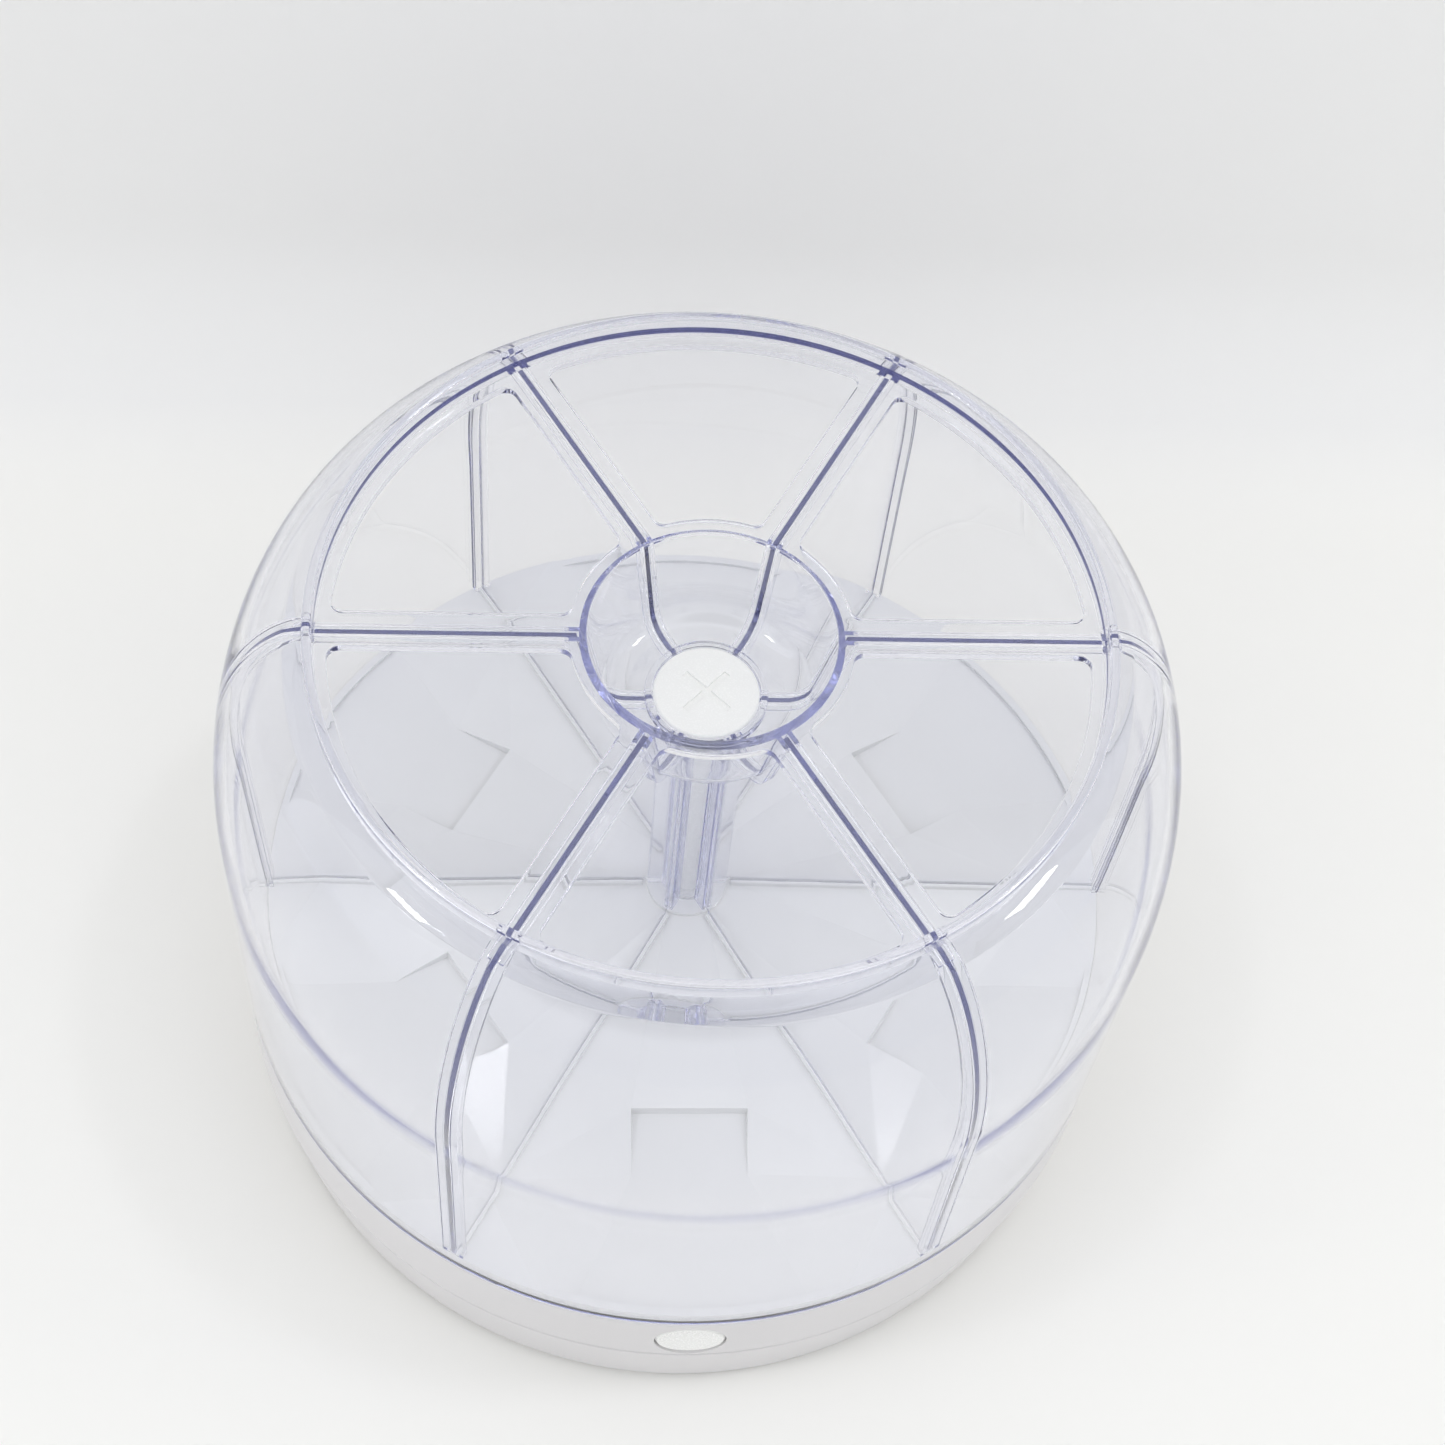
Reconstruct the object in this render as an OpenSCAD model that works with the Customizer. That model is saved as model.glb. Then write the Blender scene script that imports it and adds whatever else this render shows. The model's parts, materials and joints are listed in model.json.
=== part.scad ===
// Six-compartment turntable caddy: a clear domed drum, open at the top through
// six windows, that turns on a low white base with a round push button.
// Millimetres, +Z up. The origin is on the turning axis, on the table, and the
// button faces -Y.

/* [Base] */
// Height of the base's top edge above the table
base_h = 54; // [50:0.5:60]
// Height of the housing's outer band, from the seam to the base's top edge
band_h = 23.15; // [22:0.05:25]
// Outer radius of the base's top edge and of the drum's bottom edge
body_r = 125; // [122:0.5:130]
// How far the seam stands out past the base's top edge
seam_flare = 0.6; // [0:0.1:1.5]
// How far the foot's bottom edge stands in from the seam
foot_taper = 3.1; // [1.6:0.1:6]
// Wall thickness of the base's mouldings
base_wall = 2.6; // [2:0.1:3.4]
// Width of the open seam between foot and housing
seam_gap = 0.5; // [0.3:0.05:0.7]
// Rounding of the base's outer edges
base_round = 1.1; // [0.5:0.1:1.2]
// Height of the foot's bottom edge above the table
foot_lift = 1.6; // [1:0.1:2.5]
// Thickness of the foot's floor plate
foot_plate_t = 2.8; // [2:0.1:4]
// Height of the spigot that centres the housing on the foot
spigot_h = 1.1; // [0.6:0.1:1.2]
// Thickness of the spigot
spigot_t = 1.5; // [1:0.1:2]
// Clearance between the spigot and the housing
spigot_clear = 0.9; // [0.3:0.1:1.2]
// Depth of the deck's upper face below the base's top edge
deck_drop = 15; // [14:0.5:17]
// Thickness of the deck
deck_t = 2.5; // [2:0.1:3.5]

/* [Drum shell] */
// Running gap between the base's top edge and the drum's bottom edge
drum_gap = 0.6; // [0.4:0.1:1.2]
// Height of the drum from its bottom edge to the top of the lip
drum_h = 140.4; // [130:0.2:150]
// Wall thickness of the drum
shell_wall = 2.4; // [1.8:0.1:3]
// How much smaller the drum's radius is where the shoulder begins
wall_draft = 1.8; // [0.5:0.1:4]
// How far the shoulder's curve reaches inwards
shoulder_reach = 31.2; // [29:0.1:34]
// Height of the shoulder's curve
shoulder_h = 61.5; // [50:0.5:66]
// Distance from the drum's bottom edge in to the outside of the standing lip
lip_inset = 28.8; // [27:0.1:30]
// Wall thickness of the lip
lip_wall = 2.4; // [1.8:0.1:3]
// Height of the lip above the ledge
lip_h = 7; // [5:0.1:9]
// How far the shoulder's top stands above the ledge
shoulder_rise = 2.2; // [1.6:0.1:2.8]
// Thickness of the ledge and its spokes
ledge_t = 2.2; // [1.8:0.1:3]

/* [Windows] */
// Width of the ledge between the lip and the windows
ledge_w = 2.8; // [2:0.1:8]
// Width of the ring between the windows and the well
hub_ring_w = 2.4; // [1.6:0.1:5]
// Width of the spoke between two windows
spoke_w = 10.3; // [8:0.1:13]
// Corner radius of a window
window_corner_r = 3; // [1.5:0.1:4]

/* [Centre well] */
// Inner radius of the well at its mouth
well_r_top = 30; // [28:0.1:31]
// Inner radius of the well at its floor
well_r_bottom = 25.8; // [24:0.1:27]
// Depth of the well below the ledge
well_depth = 27.5; // [24:0.5:34]
// Wall thickness of the well
well_wall = 1.8; // [1.4:0.1:2.4]
// Inner radius between the well's wall and its floor
well_corner_r = 6; // [3:0.5:8]
// Width of the raised ring around the cap
cap_ring_w = 1.8; // [1:0.1:3]
// Height of the raised ring above the well's floor
cap_ring_h = 2.2; // [1.5:0.1:3.5]
// Radius of the cap
cap_r = 13.3; // [12:0.1:13.6]
// Thickness of the cap
cap_t = 2.2; // [1.6:0.1:3]
// Clearance between the cap and its ring
cap_clear = 0.3; // [0.2:0.05:0.5]
// Clearance between the upper washer and the wall of its recess
nut_cup_clear = 1.1; // [0.6:0.1:2]
// Room left in the recess above the upper nut
nut_room = 1.3; // [0.8:0.1:2]

/* [Dividers] */
// Thickness of a divider
divider_t = 1.4; // [1:0.1:2]
// Clearance between a divider and each side of its groove
groove_clear = 0.1; // [0.05:0.05:0.3]
// Gap between a divider's edges and what surrounds it
divider_gap = 0.3; // [0.2:0.05:0.6]
// Width of each groove rib on the drum's wall
wall_rib_w = 2.2; // [1.4:0.1:2.6]
// Width of each groove rib under the spokes and on the well
spoke_rib_w = 1.2; // [0.8:0.1:1.5]
// How far the groove ribs stand out
rib_depth = 2.4; // [1.5:0.1:3.5]

/* [Floor tray] */
// Gap between the tray's pockets and the turntable plate
floor_gap = 5.4; // [4:0.1:7]
// Thickness of the tray
tray_t = 2.2; // [1.8:0.1:3]
// Radius of the tray's flat hub
hub_r = 12.5; // [12:0.1:15]
// Thickness of the tray's hub
hub_t = 5.5; // [4.5:0.1:7]
// Fall of the floor from the hub to its crease, along a divider
divider_fall = 5; // [3:0.1:7]
// Fall of the floor from the hub to the drum's wall, along a divider
rim_fall = 7.6; // [6.5:0.1:9]
// Fall of the floor from the hub to the drum's wall, between the dividers
middle_rim_fall = 9.6; // [8.5:0.1:10.5]
// Fall of the floor from the hub to the pocket's inner edge
pocket_fall_in = 9.6; // [8:0.1:11]
// Fall of the floor from the hub to the pocket's outer edge
pocket_fall_out = 11.6; // [10:0.1:12.5]
// Depth of the pocket at its inner edge
pocket_depth = 2.7; // [1.5:0.1:4]
// Depth of the pocket at its outer edge
pocket_lip = 0.3; // [0.2:0.1:1.5]
// Distance from the drum's bottom edge in to the pocket's outer edge
pocket_inset = 37; // [33:0.5:42]
// Length of the pocket along the radius
pocket_len = 18; // [14:0.5:24]
// Width of the pocket
pocket_w = 32; // [24:0.5:36]
// Distance from the drum's bottom edge in to the floor's crease, along a divider
crease_inset = 21; // [16:0.5:26]
// Width of the valley strip where it leaves the hub
valley_w = 6; // [4:0.5:9]
// Clearance between the tray and the drum's wall
tray_clear = 0.2; // [0.1:0.05:0.4]
// Depth of the rim skirt's top below the floor's rim, along a divider
skirt_drop = 1; // [0.5:0.1:2]

/* [Column and tie rod] */
// Clearance between the tie rod and the column around it
rod_clear = 0.9; // [0.4:0.1:1.5]
// Wall thickness of the centre column
column_wall = 2.6; // [1.8:0.1:3]
// How far the column's groove ribs stand out
column_rib_w = 4; // [3:0.1:4.4]
// Radius of the tie rod inside the column
rod_r = 4.5; // [3.8:0.1:4.8]
// Radius of the tie rod's two studs
stud_r = 3; // [2.5:0.1:3.3]
// Clearance around a stud
stud_clear = 0.2; // [0.1:0.05:0.4]
// Width of a nut across its flats
nut_af = 10; // [9:0.1:11]
// Height of a nut
nut_h = 5; // [4:0.1:5.5]
// Thickness of the washer under the upper nut
washer_t = 1.2; // [0.8:0.1:1.6]
// Radius of the washer under the upper nut
washer_r = 6.5; // [6:0.1:7]

/* [Turntable] */
// Distance from the drum's bottom edge in to the turntable plate's rim
plate_inset = 13; // [12:0.5:17]
// Height of the plate's underside above the deck
plate_lift = 6; // [5.4:0.1:6.6]
// Thickness of the turntable plate
plate_t = 2.6; // [2.2:0.1:3]
// Radius of the boss that carries the tray
carrier_r = 14; // [12:0.5:18]
// Radius of the turntable's spindle
spindle_r = 7.95; // [6:0.05:8.5]
// Running clearance between the spindle and the bushing
spindle_clear = 0.05; // [0.02:0.01:0.08]
// Wall thickness of the bushing
bush_wall = 2; // [1.5:0.1:3]
// Thickness of the bushing's flange
bush_flange_t = 1; // [0.8:0.1:1.6]
// Radius of the bushing's flange
bush_flange_r = 13; // [12:0.1:15]
// Clearance between the bushing and the housing's boss
bush_clear = 0.05; // [0.02:0.01:0.1]
// How far the housing's boss reaches below the deck's underside
bush_boss_drop = 12.1; // [10:0.1:16]
// Radius of the washer that retains the spindle
retainer_r = 12.5; // [11:0.1:15]
// Thickness of the washer that retains the spindle
retainer_t = 1.6; // [1.2:0.1:2]
// Running gap above the retaining washer
retainer_gap = 0.4; // [0.3:0.05:0.8]
// Length of stud that stands out of the lower nut
stud_spare = 1.6; // [1:0.1:3]

/* [Ball race] */
// Distance from the circle of lock sockets in to the circle that the balls run on
race_inset = 25; // [20:0.5:32]
// Width of each race ring
race_w = 8; // [6:0.1:10]
// Thickness of each race ring
race_t = 1; // [0.8:0.1:1.2]
// Clearance above and below a ball
ball_clear = 0.05; // [0.03:0.01:0.1]
// Number of balls
ball_count = 18; // [12:1:24]
// Thickness of the cage
cage_t = 2.2; // [1.6:0.1:2.6]
// Width of the cage
cage_w = 11; // [8:0.1:12]
// Clearance between a ball and its pocket in the cage
cage_clear = 0.15; // [0.1:0.05:0.3]

/* [Button] */
// Height of the wall left between the seam and the button's hole
button_sill = 1.15; // [0.9:0.05:1.4]
// Radius of the button
button_r = 9.3; // [8.5:0.1:9.6]
// Thickness of the button's head
button_t = 6; // [5:0.1:6.4]
// Clearance around the button in the housing
button_clear = 0.3; // [0.2:0.05:0.5]
// Travel of the button, and lift of the lock pin
button_travel = 4; // [3:0.1:4]
// Depth of the dish in the button's face
dish_depth = 0.9; // [0.4:0.1:1.4]
// How far the button's face stands out past the housing's top edge
button_proud = 0.2; // [0:0.1:1]
// Width of the button's tongue
tongue_w = 10; // [9:0.1:11]
// Thickness of the button's tongue
tongue_t = 3.5; // [3:0.1:4]
// Depth of the tongue's top below the deck's underside
tongue_drop = 12.5; // [11.5:0.1:13.5]
// Thickness of the web between the head and the tongue
web_t = 3; // [2.5:0.1:3.5]
// Width of the web between the head and the tongue
web_w = 8; // [6:0.1:9]
// How far the tongue reaches in past the lock pin
tongue_reach = 11; // [9.5:0.5:13]
// Clearance between the tongue and its guides
tongue_clear = 0.2; // [0.1:0.05:0.3]
// Thickness of the tongue's guide ribs
guide_t = 1.9; // [1.5:0.1:2.5]
// Room for the button's spring, from the tongue's end to the spring's seat
spring_room = 9; // [7:0.5:11]
// Width of the rail that the tongue slides on
rail_w = 8; // [6:0.5:9]
// Length of the rail that the tongue slides on
rail_len = 18; // [12:1:20]

/* [Lock pin] */
// Number of lock sockets under the turntable plate
lock_count = 12; // [12:12:24]
// Distance from the drum's bottom edge in to the circle of lock sockets
lock_inset = 22; // [20:0.5:25]
// Radius of the lock pin
pin_r = 3; // [2.5:0.1:3.5]
// Running clearance around the pin in its guide
pin_clear = 0.05; // [0.02:0.01:0.08]
// Clearance around the pin in a socket
socket_clear = 0.3; // [0.2:0.05:0.5]
// Height of the rib under the plate that holds the lock sockets
socket_rib_h = 2.5; // [2.4:0.1:2.8]
// Thickness left above a lock socket
socket_roof = 1.1; // [0.8:0.1:1.1]
// Wall around a lock socket and around the pin's guide
socket_wall = 2.2; // [1.6:0.1:3]
// Gap between the lock pin's top and the plate at rest
pin_gap = 0.6; // [0.4:0.1:1]
// Height of the pin's guide above the deck
guide_h = 2; // [1:0.1:2.4]
// Radius of the collar that carries the pin's spring
collar_r = 4.3; // [4:0.1:4.6]
// Thickness of the collar
collar_t = 1.2; // [0.8:0.1:1.6]

/* [Springs] */
// Radius of the springs' wire
wire_r = 0.35; // [0.25:0.05:0.4]
// Number of turns in each spring
spring_turns = 6; // [4:1:7]
// Radius of the button spring at the middle of its wire
button_spring_r = 2.6; // [2.2:0.1:2.8]
// Clearance between the lock pin and its spring
pin_spring_clear = 0.35; // [0.25:0.05:0.4]

/* [Fasteners and feet] */
// Number of screws that hold the foot to the housing
screw_count = 6; // [4:1:8]
// Distance from the base's top edge in to the screws
screw_inset = 17; // [15:0.5:21]
// Radius of a screw's shank
screw_r = 1.5; // [1.2:0.1:2]
// Radius of a screw's head
screw_head_r = 2.8; // [2.5:0.1:3.2]
// Height of a screw's head
screw_head_h = 1.6; // [1:0.1:1.8]
// Length of a screw's shank
screw_len = 14; // [10:0.5:20]
// Width of the crossed slots in a screw's head
slot_w = 0.6; // [0.4:0.1:1]
// Radius of the pillars that take the screws
pillar_r = 4.5; // [4:0.1:6]
// Distance from the base's top edge in to the rubber feet
pad_inset = 27; // [21:0.5:35]
// Radius of a rubber foot
pad_r = 8; // [6:0.5:10]
// Bevel at the bottom of a rubber foot
pad_bevel = 0.6; // [0.3:0.1:1]
// Depth of a rubber foot's seat in the floor plate
pad_seat = 0.8; // [0.5:0.1:1.2]

/* [Hidden] */

$fn = 96;
eps = 0.01;            // overlap that keeps joined solids in one piece
play = 0.1;            // clearance between pieces that stay put beside each other
cut = 1;               // how far a cutting tool runs past what it cuts
sectors = 6;
step_a = 360 / sectors;
ball_step = 360 / ball_count;

clear_tint = [0.86, 0.87, 0.93, 0.3];
white = [0.9, 0.9, 0.88];
steel = [0.72, 0.73, 0.75];

// Radii, from the body's edge inwards
drum_r = body_r;
seam_r = body_r + seam_flare;
foot_r = seam_r - foot_taper;
shoulder_r = drum_r - wall_draft;
lip_r = drum_r - lip_inset;
lip_in = lip_r - lip_wall;
window_r_out = lip_in - ledge_w;
crease_r = drum_r - crease_inset;
pocket_r_out = drum_r - pocket_inset;
pocket_r_in = pocket_r_out - pocket_len;
plate_r = drum_r - plate_inset;
lock_r = drum_r - lock_inset;
race_r = lock_r - race_inset;
tongue_end = lock_r - tongue_reach;
spring_seat = tongue_end - spring_room;
screw_ring_r = body_r - screw_inset;
pad_ring_r = body_r - pad_inset;

// Radii, from the axis outwards
column_in = rod_r + rod_clear;
column_r = column_in + column_wall;
column_rib_r = column_r + column_rib_w;
nut_cup_r = washer_r + nut_cup_clear;
cap_ring_r = cap_r + cap_clear + cap_ring_w;
hub_in = well_r_top + well_wall;
window_r_in = hub_in + hub_ring_w;

// Heights, from the base upwards
seam_h = base_h - band_h;
deck_h = base_h - deck_drop;
deck_bottom = deck_h - deck_t;
tongue_h = deck_bottom - tongue_drop;
button_h = seam_h + button_sill + button_clear + button_r;
plate_z = deck_h + plate_lift;
plate_top = plate_z + plate_t;
drum_z = base_h + drum_gap;
lip_top = drum_z + drum_h;
ledge_top = lip_top - lip_h;
ledge_z = ledge_top - ledge_t;
well_floor = ledge_top - well_depth;
nut_seat = well_floor - nut_room - nut_h - washer_t;
cup_bottom = nut_seat - well_wall;
pocket_low_in = pocket_fall_in + pocket_depth;
pocket_low_out = pocket_fall_out + pocket_lip;
hub_top = plate_top + floor_gap + tray_t + max(pocket_low_in, pocket_low_out);
hub_bottom = hub_top - hub_t;

// Shoulder: a quarter ellipse that ends at the lip
shoulder_c = shoulder_r - shoulder_reach;
shoulder_end = acos((lip_r - shoulder_c) / shoulder_reach);
shoulder_z = ledge_top + shoulder_rise - shoulder_h * sin(shoulder_end);
inner_reach = shoulder_reach - shell_wall;
inner_h = shoulder_h - shell_wall;

groove_w = divider_t + 2 * groove_clear;
rib_end = 0.2;         // where a rib stops short of the line between two clear parts
well_taper = atan((well_r_top - well_r_bottom) / (well_depth - well_corner_r));
tray_r = drum_r - shell_wall - tray_clear
    - wall_draft * (hub_top - rim_fall - drum_z) / (shoulder_z - drum_z);
ball_r = (plate_lift - race_t) / 2 - ball_clear;
ball_z = deck_h + race_t + ball_clear + ball_r;
bush_r = spindle_r + spindle_clear + bush_wall;
bush_bottom = deck_bottom - bush_boss_drop;
spindle_end = bush_bottom - retainer_gap;
lower_nut_top = spindle_end - retainer_t;
nut_r = nut_af / 2 / cos(30);
button_face = body_r + button_proud;
button_back = button_face - button_t;
tongue_z = tongue_h - tongue_t;
pin_bottom = tongue_h + tongue_clear;
socket_z = plate_z - socket_rib_h;
pin_top = socket_z - pin_gap;
collar_z = pin_bottom + collar_t + 2 * play;
ramp_start = lock_r + pin_r + tongue_clear;
pin_spring_r = pin_r + pin_spring_clear + wire_r;
plate_floor = foot_lift + foot_plate_t;

// Points along an arc about a centre, from one angle to another
function arc(c, r, a0, a1, n) =
    [for (i = [0:n]) let (a = a0 + (a1 - a0) * i / n) [c[0] + r * cos(a), c[1] + r * sin(a)]];

// Points along the shoulder's ellipse, from its foot to an end angle
function shoulder(reach, h, end, n) =
    [for (i = [0:n]) let (a = end * i / n)
        [shoulder_c + reach * cos(a), shoulder_z + h * sin(a)]];

// The shoulder's inner face up to the ledge, drawn inwards by a distance
function inner_shoulder(d) = shoulder(inner_reach - d, inner_h - d,
    asin(min(1, (ledge_z - shoulder_z) / (inner_h - d))), 14);

// The drum's inner face, drawn inwards by a distance
function inner_face(d) = concat([[drum_r - shell_wall - d, drum_z]], inner_shoulder(d));

// The well's wall and the corner to its floor, drawn outwards by a distance
function well_face(d) = concat(
    [[well_r_top + d, ledge_z]],
    arc([well_r_bottom - well_corner_r, well_floor + well_corner_r],
        well_corner_r + d, -well_taper, -90, 6));

// A point at a radius and an angle
function polar(r, a) = [r * cos(a), r * sin(a)];

// A point mirrored about the middle line of a sector that starts at angle 0
function mirrored(p) = [p[0] * cos(step_a) + p[1] * sin(step_a), p[0] * sin(step_a) - p[1] * cos(step_a)];

function reversed(list) = [for (i = [len(list) - 1:-1:0]) list[i]];

// One window's outline, between the spokes at 0 and at one sector
function window_side() =
    let (h = spoke_w / 2, c = window_corner_r,
        a_in = asin((h + c) / (window_r_in + c)), a_out = asin((h + c) / (window_r_out - c)))
    concat(
        arc([0, 0], window_r_in, step_a / 2, a_in, 6),
        arc(polar(window_r_in + c, a_in), c, a_in + 180, 270, 5),
        arc(polar(window_r_out - c, a_out), c, -90, a_out, 5),
        arc([0, 0], window_r_out, a_out, step_a / 2, 12));

module revolve(points) {
    rotate_extrude() polygon(points);
}

module around(count, start = 0) {
    for (k = [0:count - 1]) rotate(start + k * 360 / count) children();
}

// Two slabs that stand either side of a groove along +X
module rib_pair(r0, r1, z0, z1, rib) {
    for (side = [-1, 1])
        translate([r0, side * (groove_w + rib) / 2 - rib / 2, z0]) cube([r1 - r0, rib, z1 - z0]);
}

module ring(r_out, r_in, z, h) {
    translate([0, 0, z]) difference() {
        cylinder(r = r_out, h = h);
        translate([0, 0, -cut]) cylinder(r = r_in, h = h + 2 * cut);
    }
}

module hex_nut(z) {
    translate([0, 0, z]) difference() {
        cylinder(r = nut_r, h = nut_h, $fn = 6);
        translate([0, 0, -cut]) cylinder(r = stud_r + stud_clear / 2, h = nut_h + 2 * cut);
    }
}

// A round wire wound about +Z from z = 0, with closed ends
module coil(r, length) {
    sides = 8;
    per_turn = 14;
    rings = round(spring_turns * per_turn);
    rise = length - 2 * wire_r;
    points = [for (i = [0:rings]) let (a = i * 360 / per_turn, z = wire_r + rise * i / rings)
        for (s = [0:sides - 1]) let (b = s * 360 / sides)
            [(r + wire_r * cos(b)) * cos(a), (r + wire_r * cos(b)) * sin(a), z + wire_r * sin(b)]];
    walls = [for (i = [0:rings - 1]) for (s = [0:sides - 1]) let (n = (s + 1) % sides)
        each [[i * sides + s, i * sides + n, (i + 1) * sides + n],
            [i * sides + s, (i + 1) * sides + n, (i + 1) * sides + s]]];
    ends = [[for (s = [sides - 1:-1:0]) s], [for (s = [0:sides - 1]) rings * sides + s]];
    polyhedron(points, concat(walls, ends));
}

// ---- Base ----

// Lower cover: a shallow tray that carries the rubber feet
module base_foot() {
    top = seam_h - seam_gap;
    spigot_out = seam_r - base_wall - spigot_clear;
    spigot_in = spigot_out - spigot_t;
    rail_z = foot_lift + foot_plate_t / 2;
    color(white) difference() {
        union() {
            revolve(concat(
                [[0, foot_lift]],
                arc([foot_r - base_round, foot_lift + base_round], base_round, -90, 0, 4),
                arc([seam_r - base_round / 2, top - base_round / 2], base_round / 2, 0, 90, 3),
                [[spigot_out, top], [spigot_out, top + spigot_h], [spigot_in, top + spigot_h],
                    [spigot_in, top - 2 * spigot_t], [foot_r - base_wall, plate_floor], [0, plate_floor]]));
            // Rail that the button's tongue slides on
            translate([-rail_w / 2, -lock_r - rail_len / 2, rail_z])
                cube([rail_w, rail_len, tongue_h - tongue_t - tongue_clear - rail_z]);
        }
        around(screw_count) translate([screw_ring_r, 0, foot_lift - cut]) {
            cylinder(r = screw_r + stud_clear, h = foot_plate_t + 2 * cut);
            cylinder(r = screw_head_r + stud_clear, h = screw_head_h + cut);
        }
        around(4, 45) translate([pad_ring_r, 0, foot_lift - cut])
            cylinder(r = pad_r + stud_clear, h = pad_seat + cut);
    }
}

// Upper housing: outer wall, deck, bushing boss, screw pillars and the lock's guides
module base_housing() {
    inner_top = body_r - base_wall;
    inner_seam = seam_r - base_wall;
    guide_x = tongue_w / 2 + tongue_clear;
    guide_far = lock_r + pin_r + button_travel;
    seat_z = tongue_z - 1;
    hole_top = foot_lift + screw_head_h + screw_len + cut;
    color(white) difference() {
        union() {
            revolve(concat(
                [[bush_r + bush_clear, deck_bottom], [inner_seam - 2 * play, deck_bottom],
                    [inner_seam, seam_h]],
                arc([seam_r - base_round / 2, seam_h + base_round / 2], base_round / 2, -90, 0, 3),
                arc([body_r - base_round, base_h - base_round], base_round, 0, 90, 4),
                [[inner_top, base_h], [inner_top, deck_h], [bush_r + bush_clear, deck_h]]));
            ring(bush_r + bush_clear + base_wall, bush_r + bush_clear, bush_bottom, bush_boss_drop + eps);
            around(screw_count) translate([screw_ring_r, 0, plate_floor + 2 * play])
                cylinder(r = pillar_r, h = deck_bottom - plate_floor - 2 * play + eps);
            // Guide of the lock pin, above the deck
            translate([0, -lock_r, deck_bottom])
                cylinder(r = pin_r + pin_clear + socket_wall, h = deck_t + guide_h);
            // Ribs either side of the button's tongue, and the spring's seat
            for (x = [-guide_x - guide_t, guide_x])
                translate([x, -guide_far, tongue_z])
                    cube([guide_t, guide_far - spring_seat + eps, deck_bottom - tongue_z + eps]);
            translate([-guide_x - guide_t, -spring_seat, seat_z])
                cube([2 * (guide_x + guide_t), guide_t, deck_bottom - seat_z + eps]);
            translate([0, -spring_seat, tongue_h - tongue_t / 2]) rotate([90, 0, 0])
                cylinder(r = button_spring_r - 2 * wire_r, h = tongue_t - wire_r);
        }
        translate([0, -button_back + button_travel, button_h]) rotate([90, 0, 0])
            cylinder(r = button_r + button_clear, h = button_travel + button_t + 2 * base_wall);
        // Notch in the deck for the button's head and web
        translate([-button_r - button_clear, -button_back, deck_bottom - cut])
            cube([2 * (button_r + button_clear), button_travel + web_t + cut, deck_t + 2 * cut]);
        translate([0, -lock_r, deck_bottom - cut])
            cylinder(r = pin_r + pin_clear, h = deck_t + guide_h + 2 * cut);
        around(screw_count) translate([screw_ring_r, 0, plate_floor - cut])
            cylinder(r = screw_r + play / 2, h = hole_top - plate_floor + cut);
    }
}

module base_screws() {
    seat = foot_lift + screw_head_h;
    color(steel) around(screw_count) translate([screw_ring_r, 0, seat]) {
        translate([0, 0, -screw_head_h / 2]) cylinder(r = screw_r, h = screw_len + screw_head_h / 2);
        translate([0, 0, -screw_head_h + play]) difference() {
            cylinder(r = screw_head_r, h = screw_head_h - play);
            for (a = [0, 90]) rotate(a) translate([-screw_r, -slot_w / 2, -cut])
                cube([2 * screw_r, slot_w, cut + screw_head_h / 2]);
        }
    }
}

module rubber_feet() {
    color([0.25, 0.25, 0.26]) around(4, 45) translate([pad_ring_r, 0, 0]) {
        cylinder(r1 = pad_r - pad_bevel, r2 = pad_r, h = pad_bevel);
        translate([0, 0, pad_bevel - eps]) cylinder(r = pad_r, h = foot_lift + pad_seat - pad_bevel + eps);
    }
}

module bushing() {
    color([0.78, 0.76, 0.7]) revolve([[spindle_r + spindle_clear, bush_bottom], [bush_r, bush_bottom],
        [bush_r, deck_h], [bush_flange_r, deck_h], [bush_flange_r, deck_h + bush_flange_t],
        [spindle_r + spindle_clear, deck_h + bush_flange_t]]);
}

// ---- Ball race ----

module lower_race() {
    color(steel) ring(race_r + race_w / 2, race_r - race_w / 2, deck_h, race_t);
}

module upper_race() {
    color(steel) ring(race_r + race_w / 2, race_r - race_w / 2, plate_z, race_t);
}

module ball_cage() {
    color([0.8, 0.8, 0.78]) difference() {
        ring(race_r + cage_w / 2, race_r - cage_w / 2, ball_z - cage_t / 2, cage_t);
        around(ball_count, ball_step / 2) translate([race_r, 0, ball_z - cage_t / 2 - cut])
            cylinder(r = ball_r + cage_clear, h = cage_t + 2 * cut);
    }
}

module bearing_balls() {
    color(steel) around(ball_count, ball_step / 2) translate([race_r, 0, ball_z]) sphere(r = ball_r);
}

// ---- Turntable ----

// White plate with its spindle, the tray's carrier boss and the lock sockets
module turntable_plate() {
    bore = stud_r + stud_clear;
    rib_half = pin_r + socket_clear + socket_wall;
    color(white) difference() {
        union() {
            revolve([[bore, spindle_end], [spindle_r, spindle_end], [spindle_r, plate_z],
                [plate_r, plate_z], [plate_r, plate_top], [carrier_r, plate_top],
                [carrier_r, hub_bottom], [bore, hub_bottom]]);
            ring(lock_r + rib_half, lock_r - rib_half, socket_z, socket_rib_h + eps);
        }
        ring(race_r + race_w / 2 + play, race_r - race_w / 2 - play, plate_z - cut, race_t + cut);
        around(lock_count, -90) translate([lock_r, 0, socket_z - cut])
            cylinder(r = pin_r + socket_clear, h = plate_top - socket_roof - socket_z + cut);
    }
}

module retaining_washer() {
    color(steel) ring(retainer_r, stud_r + stud_clear, lower_nut_top, retainer_t);
}

module lower_nut() {
    color(steel) hex_nut(lower_nut_top - nut_h);
}

// ---- Drum ----

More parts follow.
